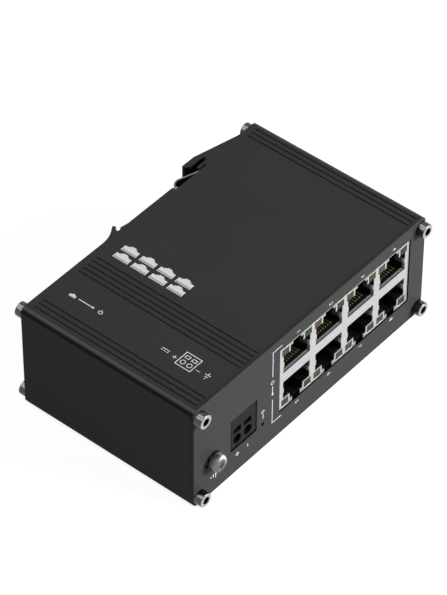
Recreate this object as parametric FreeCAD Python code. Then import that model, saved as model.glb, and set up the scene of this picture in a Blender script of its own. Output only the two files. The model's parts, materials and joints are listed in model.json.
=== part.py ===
import FreeCAD, Part
import math
import os

# An eight-port network switch for a 35 mm rail, lying on one of its wide sides.
# X runs along the length, with the power terminal towards -X.
# Y runs from the port face (-Y) to the rail side (+Y). Z is up, across the thickness.
# The origin is the centre of the lower wide face. All sizes are in millimetres.

# ---- Housing: an extruded sleeve closed by a front and a rear plate ----
body_depth = 61.3              # outer face of the front plate to the rail seat
front_plate_thickness = 1.5
rear_plate_thickness = 2.2
corner_radius = 1.8
wide_wall = 1.8
end_wall = 2.0
edge_break = 0.25              # bevel round the outer face of the front plate

# Grooves along the wide faces
groove_width = 0.7
groove_bottom_width = 0.3
groove_depth = 0.4
groove_pitch = 1.8
edge_groove_inset = 3.0        # from the end of the housing to the outermost groove
edge_groove_count = 3
middle_groove_inset = 24.7     # from the -X end to the centre of the middle group
middle_groove_count = 5

# ---- Layout along the length, from the -X end ----
terminal_end_margin = 15.65
terminal_port_gap = 10.05
port_end_margin = 7.0

# ---- Circuit board ----
board_underside = 7.8          # height above the lower wide face
board_thickness = 1.6
board_clearance = 0.15         # to the slots that carry it
board_end_gap = 0.4            # to the end walls
board_plate_gap = 0.2          # to the front and rear plates
board_rib_depth = 1.7
board_rib_thickness = 1.2

# ---- Network ports: two rows of modular sockets in one shielded block ----
port_columns = 4
port_pitch = 13.97
port_side_margin = 1.5         # outside the outermost sockets
space_above_ports = 4.45       # block to the upper wide face
port_face_recess = 0.3         # behind the front plate's face
port_window_gap = 0.25         # between the block and the front plate's window
shield_thickness = 0.3
shield_clearance = 0.05
shield_front_gap = 0.4         # front sheet to the plastic behind it
shield_skirt = 0.6             # of the front sheet, below the board's upper face
bay_width = 11.7
bay_height = 6.5               # room for the plug's body
bay_depth = 14.5
shoulder_width = 5.6           # between the lights
shoulder_height = 2.1
latch_width = 3.4
latch_height = 0.45            # in the plastic
bay_bar = 3.5                  # between the upper and the lower sockets
hook_strip_height = 0.7        # of the sheet's ears beside the latch slot
hook_slit_height = 0.25        # slit between an ear and the sheet's outer strip
hook_slit_width = 6.2
outer_strip_height = 0.45
port_body_depth = 20.0
port_leads_depth = 3.2         # room for the leads behind the plastic body
shield_lip = 0.1               # the sheet's opening is this much narrower on each side
ground_tab_height = 1.8
ground_tab_reach = 3.8
ground_tab_bow = 0.55
ground_tab_bend = 3.0          # sheet to the leaf's innermost point

# Port lights, in the corners beside the latch slots
light_width = 2.9
light_depth = 6.0
light_offset = 4.85            # from the socket's centre line
light_strip = 0.45             # of the sheet, between a lower light and its socket
light_clearance = 0.06
light_lip_depth = 1.2          # of a lower light, in front of the board's edge
light_lip_rise = 0.1           # of that lip above the front sheet's lower edge

# Port contacts
contact_count = 8
contact_pitch = 1.02
contact_width = 0.45
contact_thickness = 0.3
contact_tray_depth = 0.55
contact_front = 4.4            # from the plastic face to the contact's bend
contact_reach = 6.6
contact_drop = 2.5
contact_hook = 0.5             # rise of the bend into the bay

# ---- Power terminal: a plug in a board header, behind its own window ----
terminal_width = 10.7
terminal_height = 11.7
plug_side_gap = 0.15
plug_floor_gap = 0.65
plug_top_gap = 0.15
plug_face_recess = 0.1
pole_spacing = 4.4
pole_offset = -0.5             # of the pair of poles from the window's centre
wire_hole_diameter = 3.3
wire_hole_depth = 6.5
wire_hole_height = 3.35        # window's lower edge to the wire hole's centre
release_width = 3.2
release_height = 2.0
release_depth = 6.0
release_height_above_wire = 3.5
header_wall = 0.9
header_cavity_depth = 12.4
header_back_wall = 1.6
header_pin_size = 1.0
header_pin_reach = 4.4
header_pin_clearance = 0.15
header_pin_rise = 1.5
clamp_thickness = 0.35
clamp_chamber_depth = 4.2

# ---- Power light ----
power_light_offset = 2.7       # from the terminal window's +X edge
power_light_hole = 1.2
power_light_size = (1.6, 0.8, 0.7)

# ---- Fasteners ----
cap_head_diameter = 4.5
cap_head_height = 2.5
cap_head_bevel = 0.25
cap_shank_diameter = 2.5
cap_shank_length = 10.0
cap_socket_across_flats = 2.0
cap_socket_depth = 1.2
cap_screw_inset_x = 2.3
cap_screw_inset_z = 3.1
plate_hole_clearance = 0.2     # on the radius
screw_bore_clearance = 0.03    # on the radius, at the crests of the thread
screw_boss_wall = 1.3

ground_screw_inset = 8.0       # from the -X end
ground_screw_height = 12.8
ground_head_diameter = 5.6
ground_head_height = 2.4
ground_head_round = 0.8
ground_recess_length = 3.1     # the cross recess in the head
ground_recess_width = 0.7
ground_recess_depth = 1.2
ground_shank_diameter = 3.0
ground_shank_length = 7.0
lock_washer_diameter = 6.2
lock_washer_thickness = 0.5
lock_washer_teeth = 9
lock_washer_tooth_length = 0.9
lock_washer_tooth_width = 1.0
lock_washer_twist = 20.0       # degrees, each tooth about its own radius
ground_boss_diameter = 5.2     # behind the front plate, for the screw's thread
ground_boss_height = 2.0

# ---- Rail hooks, drawn as a profile across the rear plate ----
rail_width = 35.0
rail_offset = 7.6              # from the housing's centre to the seated rail's centre
hook_play = 0.1                # rail edge to the bottom of the fixed hook
hook_lip = 0.9
hook_lip_bevel = 0.5
hook_gap = 1.55                # under the fixed hook's lip, for a 1 mm rail
hook_height = 2.5
hook_root_radius = 9.8
hook_root_angle = 32.0
pad_height = 0.5               # raised pad that the rail flange bears on
pad_start = 1.45
pad_length = 2.75
arm_overlap = 3.45             # of the arm over the seated rail
arm_height = 3.75
arm_gap = 1.75                 # underside of the arm above the seat
arm_flat = 5.0
arm_lead_in = 1.1
arm_length = 20.4
slot_extra = 2.7               # travel left when the rail goes in behind the arm
slot_floor = 0.35
trough_depth = 1.2
trough_start = 12.0            # before the seated rail's far edge
spring_lip_start = 1.1         # before the seated rail's far edge
spring_thickness = 0.5
spring_clearance = 0.04
spring_tail = 2.4
spring_side_gap = 0.5
spring_crest = 1.35
spring_crest_start = 7.5       # before the seated rail's far edge
spring_nose_start = 10.75

# ---- Parts on the board ----
switch_chip_size = (17.0, 17.0, 1.2)
thermal_pad_size = (16.0, 16.0, 0.8)
heat_spreader_size = (30.0, 24.0)
transformer_size = (12.6, 16.4, 6.0)
transformer_gap = 1.6          # behind the port block
transformer_leads = 4          # on each side
transformer_stand_off = 0.6
transformer_lead_reach = 0.5
transformer_lead_width = 1.0
transformer_lead_height = 1.2
chip_spacing = 1.0
poe_controller_size = (9.0, 9.0, 0.9)
poe_transistor_size = (4.9, 3.9, 1.6)
sense_resistor_size = (3.2, 1.6, 0.6)
capacitor_diameter = 12.5
capacitor_height = 20.0
capacitor_groove = 0.5
capacitor_crimp = 3.0          # height of the groove above the board
capacitor_inset = 9.5          # end wall to the first can's centre
capacitor_gap = 1.5
power_rear_margin = 4.0        # rear plate to the cans
power_row_gap = 6.5            # cans' front to the centre of the coils
coil_inset = 11.0              # end wall to the choke's centre
inductor_inset = 25.5
input_row_gap = 9.5            # coils' centres to the centres of the input parts
fuse_inset = 7.0
surge_diode_inset = 17.0
regulator_inset = 26.0
choke_base_size = (11.0, 9.5, 1.2)
choke_ring_diameter = 9.0
choke_ring_hole = 3.4
choke_ring_width = 4.6
choke_ring_bevel = 0.8
inductor_size = 10.0
inductor_height = 4.6
regulator_size = (5.0, 6.2, 1.5)
fuse_size = (6.1, 2.7, 2.7)
surge_diode_size = (6.8, 5.8, 2.4)
crystal_size = (3.2, 2.5, 0.8)
memory_size = (5.2, 5.3, 1.9)

# ---- Sizes worked out from those above ----
hook_slit_start = bay_height + shoulder_height + hook_strip_height
bay_total = hook_slit_start + hook_slit_height
port_row_height = bay_total + outer_strip_height
port_block_height = 2 * port_row_height + bay_bar - shield_skirt
port_block_width = (port_columns - 1) * port_pitch + bay_width + 2 * port_side_margin
board_top = board_underside + board_thickness
body_length = (terminal_end_margin + terminal_width + terminal_port_gap
               + port_block_width + port_end_margin)
body_thickness = board_top + port_block_height + space_above_ports

left = -body_length / 2
right = body_length / 2
front = -body_depth / 2
seat = body_depth / 2
sleeve_front = front + front_plate_thickness
sleeve_rear = seat - rear_plate_thickness

terminal_left = left + terminal_end_margin
terminal_right = terminal_left + terminal_width
terminal_x = (terminal_left + terminal_right) / 2
pole_places = [terminal_x + pole_offset + side * pole_spacing / 2 for side in (-1, 1)]
port_left = terminal_right + terminal_port_gap
port_right = port_left + port_block_width
port_top = board_top + port_block_height
port_bottom = board_top - shield_skirt
port_face = front + port_face_recess
port_body_front = port_face + shield_thickness + shield_front_gap
port_body_back = port_body_front + port_body_depth
port_block_back = port_body_back + port_leads_depth
port_places = [port_left + port_side_margin + bay_width / 2 + column * port_pitch
               for column in range(port_columns)]

screw_places = [(x, z)
                for x in (left + cap_screw_inset_x, right - cap_screw_inset_x)
                for z in (cap_screw_inset_z, body_thickness - cap_screw_inset_z)]
ground_x = left + ground_screw_inset


# ---- Building blocks ----
def box(x0, x1, y0, y1, z0, z1):
    return Part.makeBox(x1 - x0, y1 - y0, z1 - z0, FreeCAD.Vector(x0, y0, z0))


def rod(x, z, radius, y0, y1):
    """A round bar along Y."""
    return Part.makeCylinder(radius, y1 - y0, FreeCAD.Vector(x, y0, z), FreeCAD.Vector(0, 1, 0))


def prism_along_x(points, x0, x1):
    corners = [FreeCAD.Vector(x0, y, z) for y, z in points]
    face = Part.Face(Part.makePolygon(corners + corners[:1]))
    return face.extrude(FreeCAD.Vector(x1 - x0, 0, 0))


def prism_along_y(points, y0, y1):
    corners = [FreeCAD.Vector(x, y0, z) for x, z in points]
    face = Part.Face(Part.makePolygon(corners + corners[:1]))
    return face.extrude(FreeCAD.Vector(0, y1 - y0, 0))


def prism_along_z(points, z0, z1):
    corners = [FreeCAD.Vector(x, y, z0) for x, y in points]
    face = Part.Face(Part.makePolygon(corners + corners[:1]))
    return face.extrude(FreeCAD.Vector(0, 0, z1 - z0))


def housing_prism(inset, radius, y0, y1):
    """The housing's outline, drawn in by inset, as a block along Y with rounded long edges."""
    block = box(left + inset, right - inset, y0, y1, inset, body_thickness - inset)
    return round_edges_along(block, FreeCAD.Vector(0, 1, 0), radius)


def round_edges_along(solid, direction, radius):
    chosen = []
    for edge in solid.Edges:
        run = edge.Vertexes[-1].Point - edge.Vertexes[0].Point
        if run.Length > 0 and abs(run.normalize().dot(direction)) > 0.999:
            chosen.append(edge)
    return solid.makeFillet(radius, chosen)


def strip_outline(points, thickness):
    """The outline of a strip whose middle line runs through the given points, with mitred bends."""
    half = thickness / 2
    one_side = []
    other_side = []
    for index, (a, b) in enumerate(points):
        directions = []
        if index > 0:
            directions.append((a - points[index - 1][0], b - points[index - 1][1]))
        if index < len(points) - 1:
            directions.append((points[index + 1][0] - a, points[index + 1][1] - b))
        normals = []
        for run_a, run_b in directions:
            length = math.hypot(run_a, run_b)
            normals.append((-run_b / length, run_a / length))
        sum_a = sum(normal[0] for normal in normals)
        sum_b = sum(normal[1] for normal in normals)
        size = math.hypot(sum_a, sum_b)
        mitre_a = sum_a / size
        mitre_b = sum_b / size
        stretch = half / (mitre_a * normals[0][0] + mitre_b * normals[0][1])
        one_side.append((a + mitre_a * stretch, b + mitre_b * stretch))
        other_side.append((a - mitre_a * stretch, b - mitre_b * stretch))
    return one_side + other_side[::-1]


def fuse_all(shapes):
    whole = shapes[0]
    if len(shapes) > 1:
        whole = whole.multiFuse(shapes[1:]).removeSplitter()
    return whole


def cut_all(shape, tools):
    return shape.cut(Part.makeCompound(tools)).removeSplitter()


def on_board(x, y, size, below=False):
    """A rectangular component centred at x, y on the board's upper or lower face."""
    length, width, height = size
    base = board_underside - height if below else board_top
    return box(x - length / 2, x + length / 2, y - width / 2, y + width / 2, base, base + height)


def export(name, shapes):
    shape = shapes if isinstance(shapes, Part.Shape) else Part.makeCompound(shapes)
    shape.exportStep("parts/" + name + ".step")


# ---- Housing ----
def groove_places():
    edge_group = [edge_groove_inset + index * groove_pitch for index in range(edge_groove_count)]
    middle_start = middle_groove_inset - (middle_groove_count - 1) / 2 * groove_pitch
    middle_group = [middle_start + index * groove_pitch for index in range(middle_groove_count)]
    return ([left + inset for inset in edge_group + middle_group]
            + [right - inset for inset in edge_group])


def grooves():
    half_top = groove_width / 2
    half_bottom = groove_bottom_width / 2
    cutters = []
    for x in groove_places():
        for surface, into in ((0.0, 1), (body_thickness, -1)):
            outline = [(x - half_top, surface - into * groove_depth / 10),
                       (x - half_top, surface),
                       (x - half_bottom, surface + into * groove_depth),
                       (x + half_bottom, surface + into * groove_depth),
                       (x + half_top, surface),
                       (x + half_top, surface - into * groove_depth / 10)]
            cutters.append(prism_along_y(outline, sleeve_front, sleeve_rear))
    return cutters


def housing_sleeve():
    outer = housing_prism(0, corner_radius, sleeve_front, sleeve_rear)
    hollow = box(left + end_wall, right - end_wall, sleeve_front, sleeve_rear,
                 wide_wall, body_thickness - wide_wall)
    shell = outer.cut(hollow)

    bore_radius = cap_shank_diameter / 2 + screw_bore_clearance
    boss_radius = bore_radius + screw_boss_wall
    additions = []
    bores = []
    for x, z in screw_places:
        boss = rod(x, z, boss_radius, sleeve_front, sleeve_rear)
        additions.append(boss.common(outer))
        bores.append(rod(x, z, bore_radius, sleeve_front, sleeve_rear))

    slot_low = board_underside - board_clearance
    slot_high = board_top + board_clearance
    for wall, inward in ((left + end_wall, 1), (right - end_wall, -1)):
        x0, x1 = sorted((wall, wall + inward * board_rib_depth))
        for z0 in (slot_low - board_rib_thickness, slot_high):
            additions.append(box(x0, x1, sleeve_front, sleeve_rear, z0, z0 + board_rib_thickness))
    return cut_all(fuse_all([shell] + additions), bores + grooves())


def plate_screw_holes(y0, y1):
    radius = cap_shank_diameter / 2 + plate_hole_clearance
    return [rod(x, z, radius, y0, y1) for x, z in screw_places]


def front_panel():
    plate = housing_prism(0, corner_radius, front, sleeve_front)
    outer_edges = [edge for edge in plate.Edges
                   if all(abs(vertex.Point.y - front) < 1e-6 for vertex in edge.Vertexes)]
    plate = plate.makeChamfer(edge_break, outer_edges)
    cutouts = plate_screw_holes(front, sleeve_front)
    cutouts.append(box(port_left - port_window_gap, port_right + port_window_gap,
                       front, sleeve_front,
                       port_bottom - port_window_gap, port_top + port_window_gap))
    cutouts.append(box(terminal_left, terminal_right, front, sleeve_front,
                       board_top, board_top + terminal_height))
    light_z = board_top + power_light_size[2] / 2
    cutouts.append(rod(terminal_right + power_light_offset, light_z, power_light_hole / 2,
                       front, sleeve_front))
    boss_back = sleeve_front + ground_boss_height
    boss = rod(ground_x, ground_screw_height, ground_boss_diameter / 2, sleeve_front, boss_back)
    cutouts.append(rod(ground_x, ground_screw_height,
                       ground_shank_diameter / 2 + screw_bore_clearance, front, boss_back))
    return cut_all(fuse_all([plate, boss]), cutouts)


# ---- Rail side ----
rail_near = rail_offset - rail_width / 2          # seated rail's edge in the fixed hook
rail_far = rail_near + rail_width                 # seated rail's edge under the arm
hook_wall = rail_near - hook_play
hook_tip = hook_wall + hook_lip
arm_tip = rail_far - arm_overlap
slot_end = hook_tip + rail_width + slot_extra
trough_near = rail_far - trough_start
spring_lip = rail_far - spring_lip_start
spring_groove_top = spring_thickness + 2 * spring_clearance - trough_depth
spring_groove_end = spring_lip + spring_tail + spring_clearance


def rear_profile():
    """The rear plate's section in X and Y, with its fixed hook, rail seat, trough and arm."""
    def at(x, rise):
        return FreeCAD.Vector(x, seat + rise, 0)

    turn = math.radians(hook_root_angle)
    root_rise = hook_root_radius * (1 - math.cos(turn))
    root_run = hook_root_radius * math.sin(turn)
    slope_run = (hook_height - root_rise) / math.tan(turn)
    slope_start = hook_tip - hook_lip_bevel - slope_run
    root_start = slope_start - root_run
    half_turn = turn / 2
    root_middle = at(root_start + hook_root_radius * math.sin(half_turn),
                     hook_root_radius * (1 - math.cos(half_turn)))
    slot_radius = (arm_gap - slot_floor) / 2

    edges = [Part.makeLine(at(left, -rear_plate_thickness), at(left, 0)),
             Part.makeLine(at(left, 0), at(root_start, 0)),
             Part.Arc(at(root_start, 0), root_middle, at(slope_start, root_rise)).toShape()]
    corners = [at(slope_start, root_rise),
               at(hook_tip - hook_lip_bevel, hook_height),
               at(hook_tip, hook_height - hook_lip_bevel),
               at(hook_tip, hook_gap),
               at(hook_wall, hook_gap),
               at(hook_wall, 0),
               at(hook_wall + pad_start - pad_height / 2, 0),
               at(hook_wall + pad_start, pad_height),
               at(hook_wall + pad_start + pad_length, 0),
               at(trough_near, 0),
               at(trough_near, -trough_depth),
               at(spring_groove_end, -trough_depth),
               at(spring_groove_end, spring_groove_top),
               at(spring_lip, spring_groove_top),
               at(spring_lip, slot_floor),
               at(slot_end - slot_radius, slot_floor)]
    edges += [Part.makeLine(a, b) for a, b in zip(corners, corners[1:])]
    edges.append(Part.Arc(at(slot_end - slot_radius, slot_floor),
                          at(slot_end, slot_floor + slot_radius),
                          at(slot_end - slot_radius, arm_gap)).toShape())
    corners = [at(slot_end - slot_radius, arm_gap),
               at(arm_tip + arm_lead_in, arm_gap),
               at(arm_tip, arm_gap + arm_lead_in),
               at(arm_tip, arm_height),
               at(arm_tip + arm_flat, arm_height),
               at(arm_tip + arm_length, 0),
               at(right, 0),
               at(right, -rear_plate_thickness),
               at(left, -rear_plate_thickness)]
    edges += [Part.makeLine(a, b) for a, b in zip(corners, corners[1:])]
    return Part.Face(Part.Wire(edges))


def rear_panel():
    extrusion = rear_profile().extrude(FreeCAD.Vector(0, 0, body_thickness))
    outline = housing_prism(0, corner_radius, sleeve_rear, seat + arm_height)
    holes = plate_screw_holes(sleeve_rear, seat + arm_height)
    return cut_all(extrusion.common(outline), holes)


def rail_spring():
    """A bent leaf: its tail sits in the trough's groove and its nose stands above the seat."""
    low = seat - trough_depth + spring_clearance + spring_thickness / 2
    crest = seat + spring_crest

    def at(x, y):
        return FreeCAD.Vector(x, y, spring_side_gap)

    tail_end = spring_lip + spring_tail - spring_thickness / 2
    crest_x = rail_far - spring_crest_start
    nose_x = rail_far - spring_nose_start
    bend = at(spring_lip - spring_thickness, low)
    top = at(crest_x, crest - spring_thickness / 2)
    shoulder = at((crest_x + nose_x) / 2 - spring_thickness / 2, crest - spring_thickness / 4)
    nose = at(nose_x, seat + spring_thickness / 2)
    middle_line = Part.Wire([
        Part.makeLine(at(tail_end, low), bend),
        Part.makeLine(bend, top),
        Part.Arc(top, shoulder, nose).toShape(),
        Part.makeLine(nose, at(nose_x, low)),
    ])
    outline = middle_line.makeOffset2D(spring_thickness / 2)
    width = body_thickness - 2 * spring_side_gap
    return Part.Face(outline).extrude(FreeCAD.Vector(0, 0, width))


# ---- Fasteners ----
def hexagon(across_flats, x, z, y0, y1):
    radius = across_flats / math.sqrt(3)
    corners = [(x + radius * math.cos(math.radians(60 * index)),
                z + radius * math.sin(math.radians(60 * index))) for index in range(6)]
    return prism_along_y(corners, y0, y1)


def cap_screw(x, z, face, inward):
    """A socket cap screw whose head stands on a plate's outer face."""
    outer = face - inward * cap_head_height
    inner = face + inward * cap_shank_length
    head = rod(x, z, cap_head_diameter / 2, *sorted((outer, face)))
    rim = [edge for edge in head.Edges
           if len(edge.Vertexes) == 1 and abs(edge.Vertexes[0].Point.y - outer) < 1e-6]
    head = head.makeChamfer(cap_head_bevel, rim)
    shank = rod(x, z, cap_shank_diameter / 2, *sorted((face, inner)))
    socket = hexagon(cap_socket_across_flats, x, z,
                     *sorted((outer, outer + inward * cap_socket_depth)))
    return head.fuse(shank).cut(socket)


def front_screws():
    return [cap_screw(x, z, front, 1) for x, z in screw_places]


def rear_screws():
    return [cap_screw(x, z, seat, -1) for x, z in screw_places]


washer_twist = math.radians(lock_washer_twist)
washer_tooth_rise = (lock_washer_tooth_width * math.sin(washer_twist)
                     - lock_washer_thickness * (1 - math.cos(washer_twist))) / 2
washer_inner_face = front - washer_tooth_rise
washer_outer_face = washer_inner_face - lock_washer_thickness
ground_head_seat = washer_outer_face - washer_tooth_rise


def ground_screw():
    """A pan head screw with a cross recess, standing on its lock washer."""
    head_face = ground_head_seat - ground_head_height
    radius = ground_head_diameter / 2
    head = rod(ground_x, ground_screw_height, radius, head_face, ground_head_seat)
    rim = [edge for edge in head.Edges
           if len(edge.Vertexes) == 1 and abs(edge.Vertexes[0].Point.y - head_face) < 1e-6]
    head = head.makeFillet(ground_head_round, rim)
    shank = rod(ground_x, ground_screw_height, ground_shank_diameter / 2,
                ground_head_seat, front + ground_shank_length)
    arm = ground_recess_length / 2
    slot = ground_recess_width / 2
    floor = head_face + ground_recess_depth
    z = ground_screw_height
    cross = [box(ground_x - arm, ground_x + arm, head_face, floor, z - slot, z + slot),
             box(ground_x - slot, ground_x + slot, head_face, floor, z - arm, z + arm)]
    return cut_all(head.fuse(shank), cross)


def ground_lock_washer():
    """A ring with outer teeth, each twisted about its own radius."""
    radius = lock_washer_diameter / 2
    ring_radius = radius - lock_washer_tooth_length
    middle = (washer_outer_face + washer_inner_face) / 2
    z = ground_screw_height
    ring = rod(ground_x, z, ring_radius, washer_outer_face, washer_inner_face)
    root = lock_washer_thickness / 2
    half_width = lock_washer_tooth_width / 2
    half_thickness = lock_washer_thickness / 2
    pieces = [ring]
    for index in range(lock_washer_teeth):
        tooth = box(ring_radius - root, radius, -half_thickness, half_thickness,
                    -half_width, half_width)
        tooth.rotate(FreeCAD.Vector(), FreeCAD.Vector(1, 0, 0), lock_washer_twist)
        tooth.rotate(FreeCAD.Vector(), FreeCAD.Vector(0, 1, 0), 360 * index / lock_washer_teeth)
        tooth.translate(FreeCAD.Vector(ground_x, middle, z))
        pieces.append(tooth)
    hole = rod(ground_x, z, ground_shank_diameter / 2 + plate_hole_clearance,
               washer_outer_face, washer_inner_face)
    return cut_all(fuse_all(pieces), [hole])


# ---- Circuit board and power terminal ----
pin_height = board_top + wire_hole_height + header_pin_rise
header_front = sleeve_front + board_plate_gap
header_back = header_front + header_cavity_depth + header_back_wall
pin_leg_y = header_back + header_pin_size


def circuit_board():
    board = box(left + end_wall + board_end_gap, right - end_wall - board_end_gap,
                sleeve_front + board_plate_gap, sleeve_rear - board_plate_gap,
                board_underside, board_top)
    hole_half = header_pin_size / 2 + header_pin_clearance
    holes = [box(x - hole_half, x + hole_half, pin_leg_y - hole_half, pin_leg_y + hole_half,
                 board_underside, board_top) for x in pole_places]
    return cut_all(board, holes)


def power_header():
    """The board header: a shroud open to the front, with the pins through its back wall."""
    outer = box(terminal_left - header_wall, terminal_right + header_wall,
                header_front, header_back, board_top, board_top + terminal_height + header_wall)
    cavity = box(terminal_left, terminal_right, header_front,
                 header_front + header_cavity_depth,
                 board_top + plug_floor_gap - plug_side_gap, board_top + terminal_height)
    half = header_pin_size / 2
    pin_holes = [box(x - half, x + half, header_front + header_cavity_depth, header_back,
                     pin_height - half, pin_height + half) for x in pole_places]
    return cut_all(outer, [cavity] + pin_holes)


def header_pins():
    half = header_pin_size / 2
    pins = []
    for x in pole_places:
        reach = box(x - half, x + half,
                    header_front + header_cavity_depth - header_pin_reach, pin_leg_y + half,
                    pin_height - half, pin_height + half)
        leg = box(x - half, x + half, pin_leg_y - half, pin_leg_y + half,
                  board_underside - header_pin_size, pin_height + half)
        pins.append(fuse_all([reach, leg]))
    return pins


plug_face = front + plug_face_recess
plug_back = header_front + header_cavity_depth - plug_side_gap
plug_bottom = board_top + plug_floor_gap
plug_top = board_top + terminal_height - plug_top_gap
wire_hole_z = board_top + wire_hole_height
chamber_front = plug_face + wire_hole_depth
chamber_half = wire_hole_diameter / 2
chamber_low = wire_hole_z - chamber_half
chamber_high = pin_height + header_pin_size


def power_plug():
    body = box(terminal_left + plug_side_gap, terminal_right - plug_side_gap,
               plug_face, plug_back, plug_bottom, plug_top)
    pin_half = header_pin_size / 2 + header_pin_clearance
    cuts = []
    for x in pole_places:
        cuts.append(rod(x, wire_hole_z, wire_hole_diameter / 2, plug_face, chamber_front))
        release_z = wire_hole_z + release_height_above_wire
        cuts.append(box(x - release_width / 2, x + release_width / 2,
                        plug_face, plug_face + release_depth,
                        release_z - release_height / 2, release_z + release_height / 2))
        chamber_back = chamber_front + clamp_chamber_depth
        cuts.append(box(x - chamber_half, x + chamber_half, chamber_front, chamber_back,
                        chamber_low, chamber_high))
        cuts.append(box(x - pin_half, x + pin_half, chamber_back, plug_back,
                        pin_height - pin_half, pin_height + pin_half))
    return cut_all(body, cuts)


def plug_clamps():
    """A spring strip in each chamber: a floor, a back and a leg that leans on the wire."""
    half = clamp_thickness / 2
    low = chamber_low + half
    near = chamber_front + clamp_thickness
    far = chamber_front + clamp_chamber_depth - clamp_thickness
    centre_line = [(far, low), (near, low), (near, chamber_high - 3 * half),
                   (near + clamp_chamber_depth / 3, chamber_high - 5 * half),
                   (far, low + 5 * half)]
    outline = strip_outline(centre_line, clamp_thickness)
    window_half = chamber_half - 2 * clamp_thickness
    clamps = []
    for x in pole_places:
        strip = prism_along_x(outline, x - chamber_half, x + chamber_half)
        window = box(x - window_half, x + window_half, chamber_front, near + clamp_thickness,
                     low + clamp_thickness, wire_hole_z + window_half)
        clamps.append(strip.cut(window))
    return clamps


def power_light():
    length, depth, height = power_light_size
    x = terminal_right + power_light_offset
    y0 = sleeve_front + board_plate_gap
    return box(x - length / 2, x + length / 2, y0, y0 + depth, board_top, board_top + height)


# ---- Network port block ----
lower_bay_top = port_bottom + port_row_height             # contact side of the lower row
upper_bay_floor = lower_bay_top + bay_bar                 # contact side of the upper row
port_rows = ((lower_bay_top, -1), (upper_bay_floor, 1))   # contact wall, and the way to the latch


def stepped_outline(x, wall, towards_latch, steps):
    """An opening about x that starts at its wall; each step is a half width and where it ends."""
    one_side = []
    level = 0.0
    for half, step in steps:
        one_side.append((half, level))
        one_side.append((half, step))
        level = step
    outline = [(x + half, wall + towards_latch * level) for half, level in one_side]
    outline += [(x - half, wall + towards_latch * level) for half, level in one_side[::-1]]
    return outline


def bay_outline(x, wall, towards_latch):
    """A modular socket's opening in the plastic, from its contact wall to its latch slot."""
    shoulder_end = bay_height + shoulder_height
    return stepped_outline(x, wall, towards_latch, [
        (bay_width / 2, bay_height),
        (shoulder_width / 2, shoulder_end),
        (latch_width / 2, shoulder_end + latch_height)])


def sheet_outline(x, wall, towards_latch):
    """The same opening in the front sheet, with an ear on each side of the latch slot."""
    steps = [(bay_width / 2 - shield_lip, bay_height),
             (shoulder_width / 2, bay_height + shoulder_height),
             (latch_width / 2, hook_slit_start),
             (hook_slit_width / 2, bay_total)]
    if towards_latch < 0:
        steps.append((latch_width / 2, port_row_height + shield_skirt))   # open at the lower edge
    return stepped_outline(x, wall, towards_latch, steps)


def light_span(towards_latch):
    """The lowest and highest points of a row's lights, without their lips."""
    if towards_latch < 0:
        return board_top, lower_bay_top - bay_height - light_strip
    return (upper_bay_floor + bay_height + light_clearance,
            port_top - shield_thickness - light_clearance)


def light_room(x, side, towards_latch, y0, y1):
    """One light's room, with its clearance: open downwards in the lower row."""
    centre = x + side * light_offset
    half = light_width / 2 + light_clearance
    low, high = light_span(towards_latch)
    if towards_latch < 0:
        low = port_bottom - shield_skirt
    return box(centre - half, centre + half, y0, y1, low - light_clearance,
               high + light_clearance)


def port_housing():
    gap = shield_thickness + shield_clearance
    light_back = port_face + light_depth
    body = box(port_left + gap, port_right - gap, port_body_front, port_body_back,
               board_top, port_top - gap)
    tray_half = contact_count * contact_pitch / 2 + contact_width / 2
    cuts = []
    for x in port_places:
        for wall, towards_latch in port_rows:
            outline = bay_outline(x, wall, towards_latch)
            cuts.append(prism_along_y(outline, port_body_front, port_body_front + bay_depth))
            z0, z1 = sorted((wall, wall - towards_latch * contact_tray_depth))
            cuts.append(box(x - tray_half, x + tray_half,
                            port_body_front + contact_front - 2 * contact_thickness,
                            port_body_back, z0, z1))
            for side in (-1, 1):
                cuts.append(light_room(x, side, towards_latch, port_body_front,
                                       light_back + light_clearance))
    return cut_all(body, cuts)


def ground_tabs(x, wall, towards_latch):
    """Two leaves at a socket's sides, bowed inwards to touch a plug's shield."""
    half = bay_width / 2 - shield_lip
    z_middle = wall + towards_latch * bay_height / 2
    tabs = []
    for side in (-1, 1):
        root = half - shield_thickness / 2
        line = [(x + side * root, port_face),
                (x + side * (root - ground_tab_bow), port_face + ground_tab_bend),
                (x + side * (root - ground_tab_bow / 2), port_face + ground_tab_reach)]
        outline = strip_outline(line, shield_thickness)
        tabs.append(prism_along_z(outline, z_middle - ground_tab_height / 2,
                                  z_middle + ground_tab_height / 2))
    return tabs


def port_shield():
    """A folded sheet-metal can, open towards the board, whose front sheet hangs past its edge."""
    outer = box(port_left, port_right, port_face, port_block_back, port_bottom, port_top)
    outer = round_edges_along(outer, FreeCAD.Vector(0, 1, 0), shield_thickness)
    sheet_back = port_face + shield_thickness
    inner = box(port_left + shield_thickness, port_right - shield_thickness,
                sheet_back, port_block_back - shield_thickness,
                port_bottom, port_top - shield_thickness)
    behind_skirt = box(port_left, port_right, sheet_back, port_block_back,
                       port_bottom, board_top)
    cuts = [inner, behind_skirt]
    tabs = []
    for x in port_places:
        for wall, towards_latch in port_rows:
            outline = sheet_outline(x, wall, towards_latch)
            cuts.append(prism_along_y(outline, port_face, sheet_back))
            for side in (-1, 1):
                cuts.append(light_room(x, side, towards_latch, port_face, sheet_back))
            tabs += ground_tabs(x, wall, towards_latch)
    can = cut_all(outer, cuts)
    return can.multiFuse([tab.cut(can) for tab in tabs]).removeSplitter()


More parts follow.
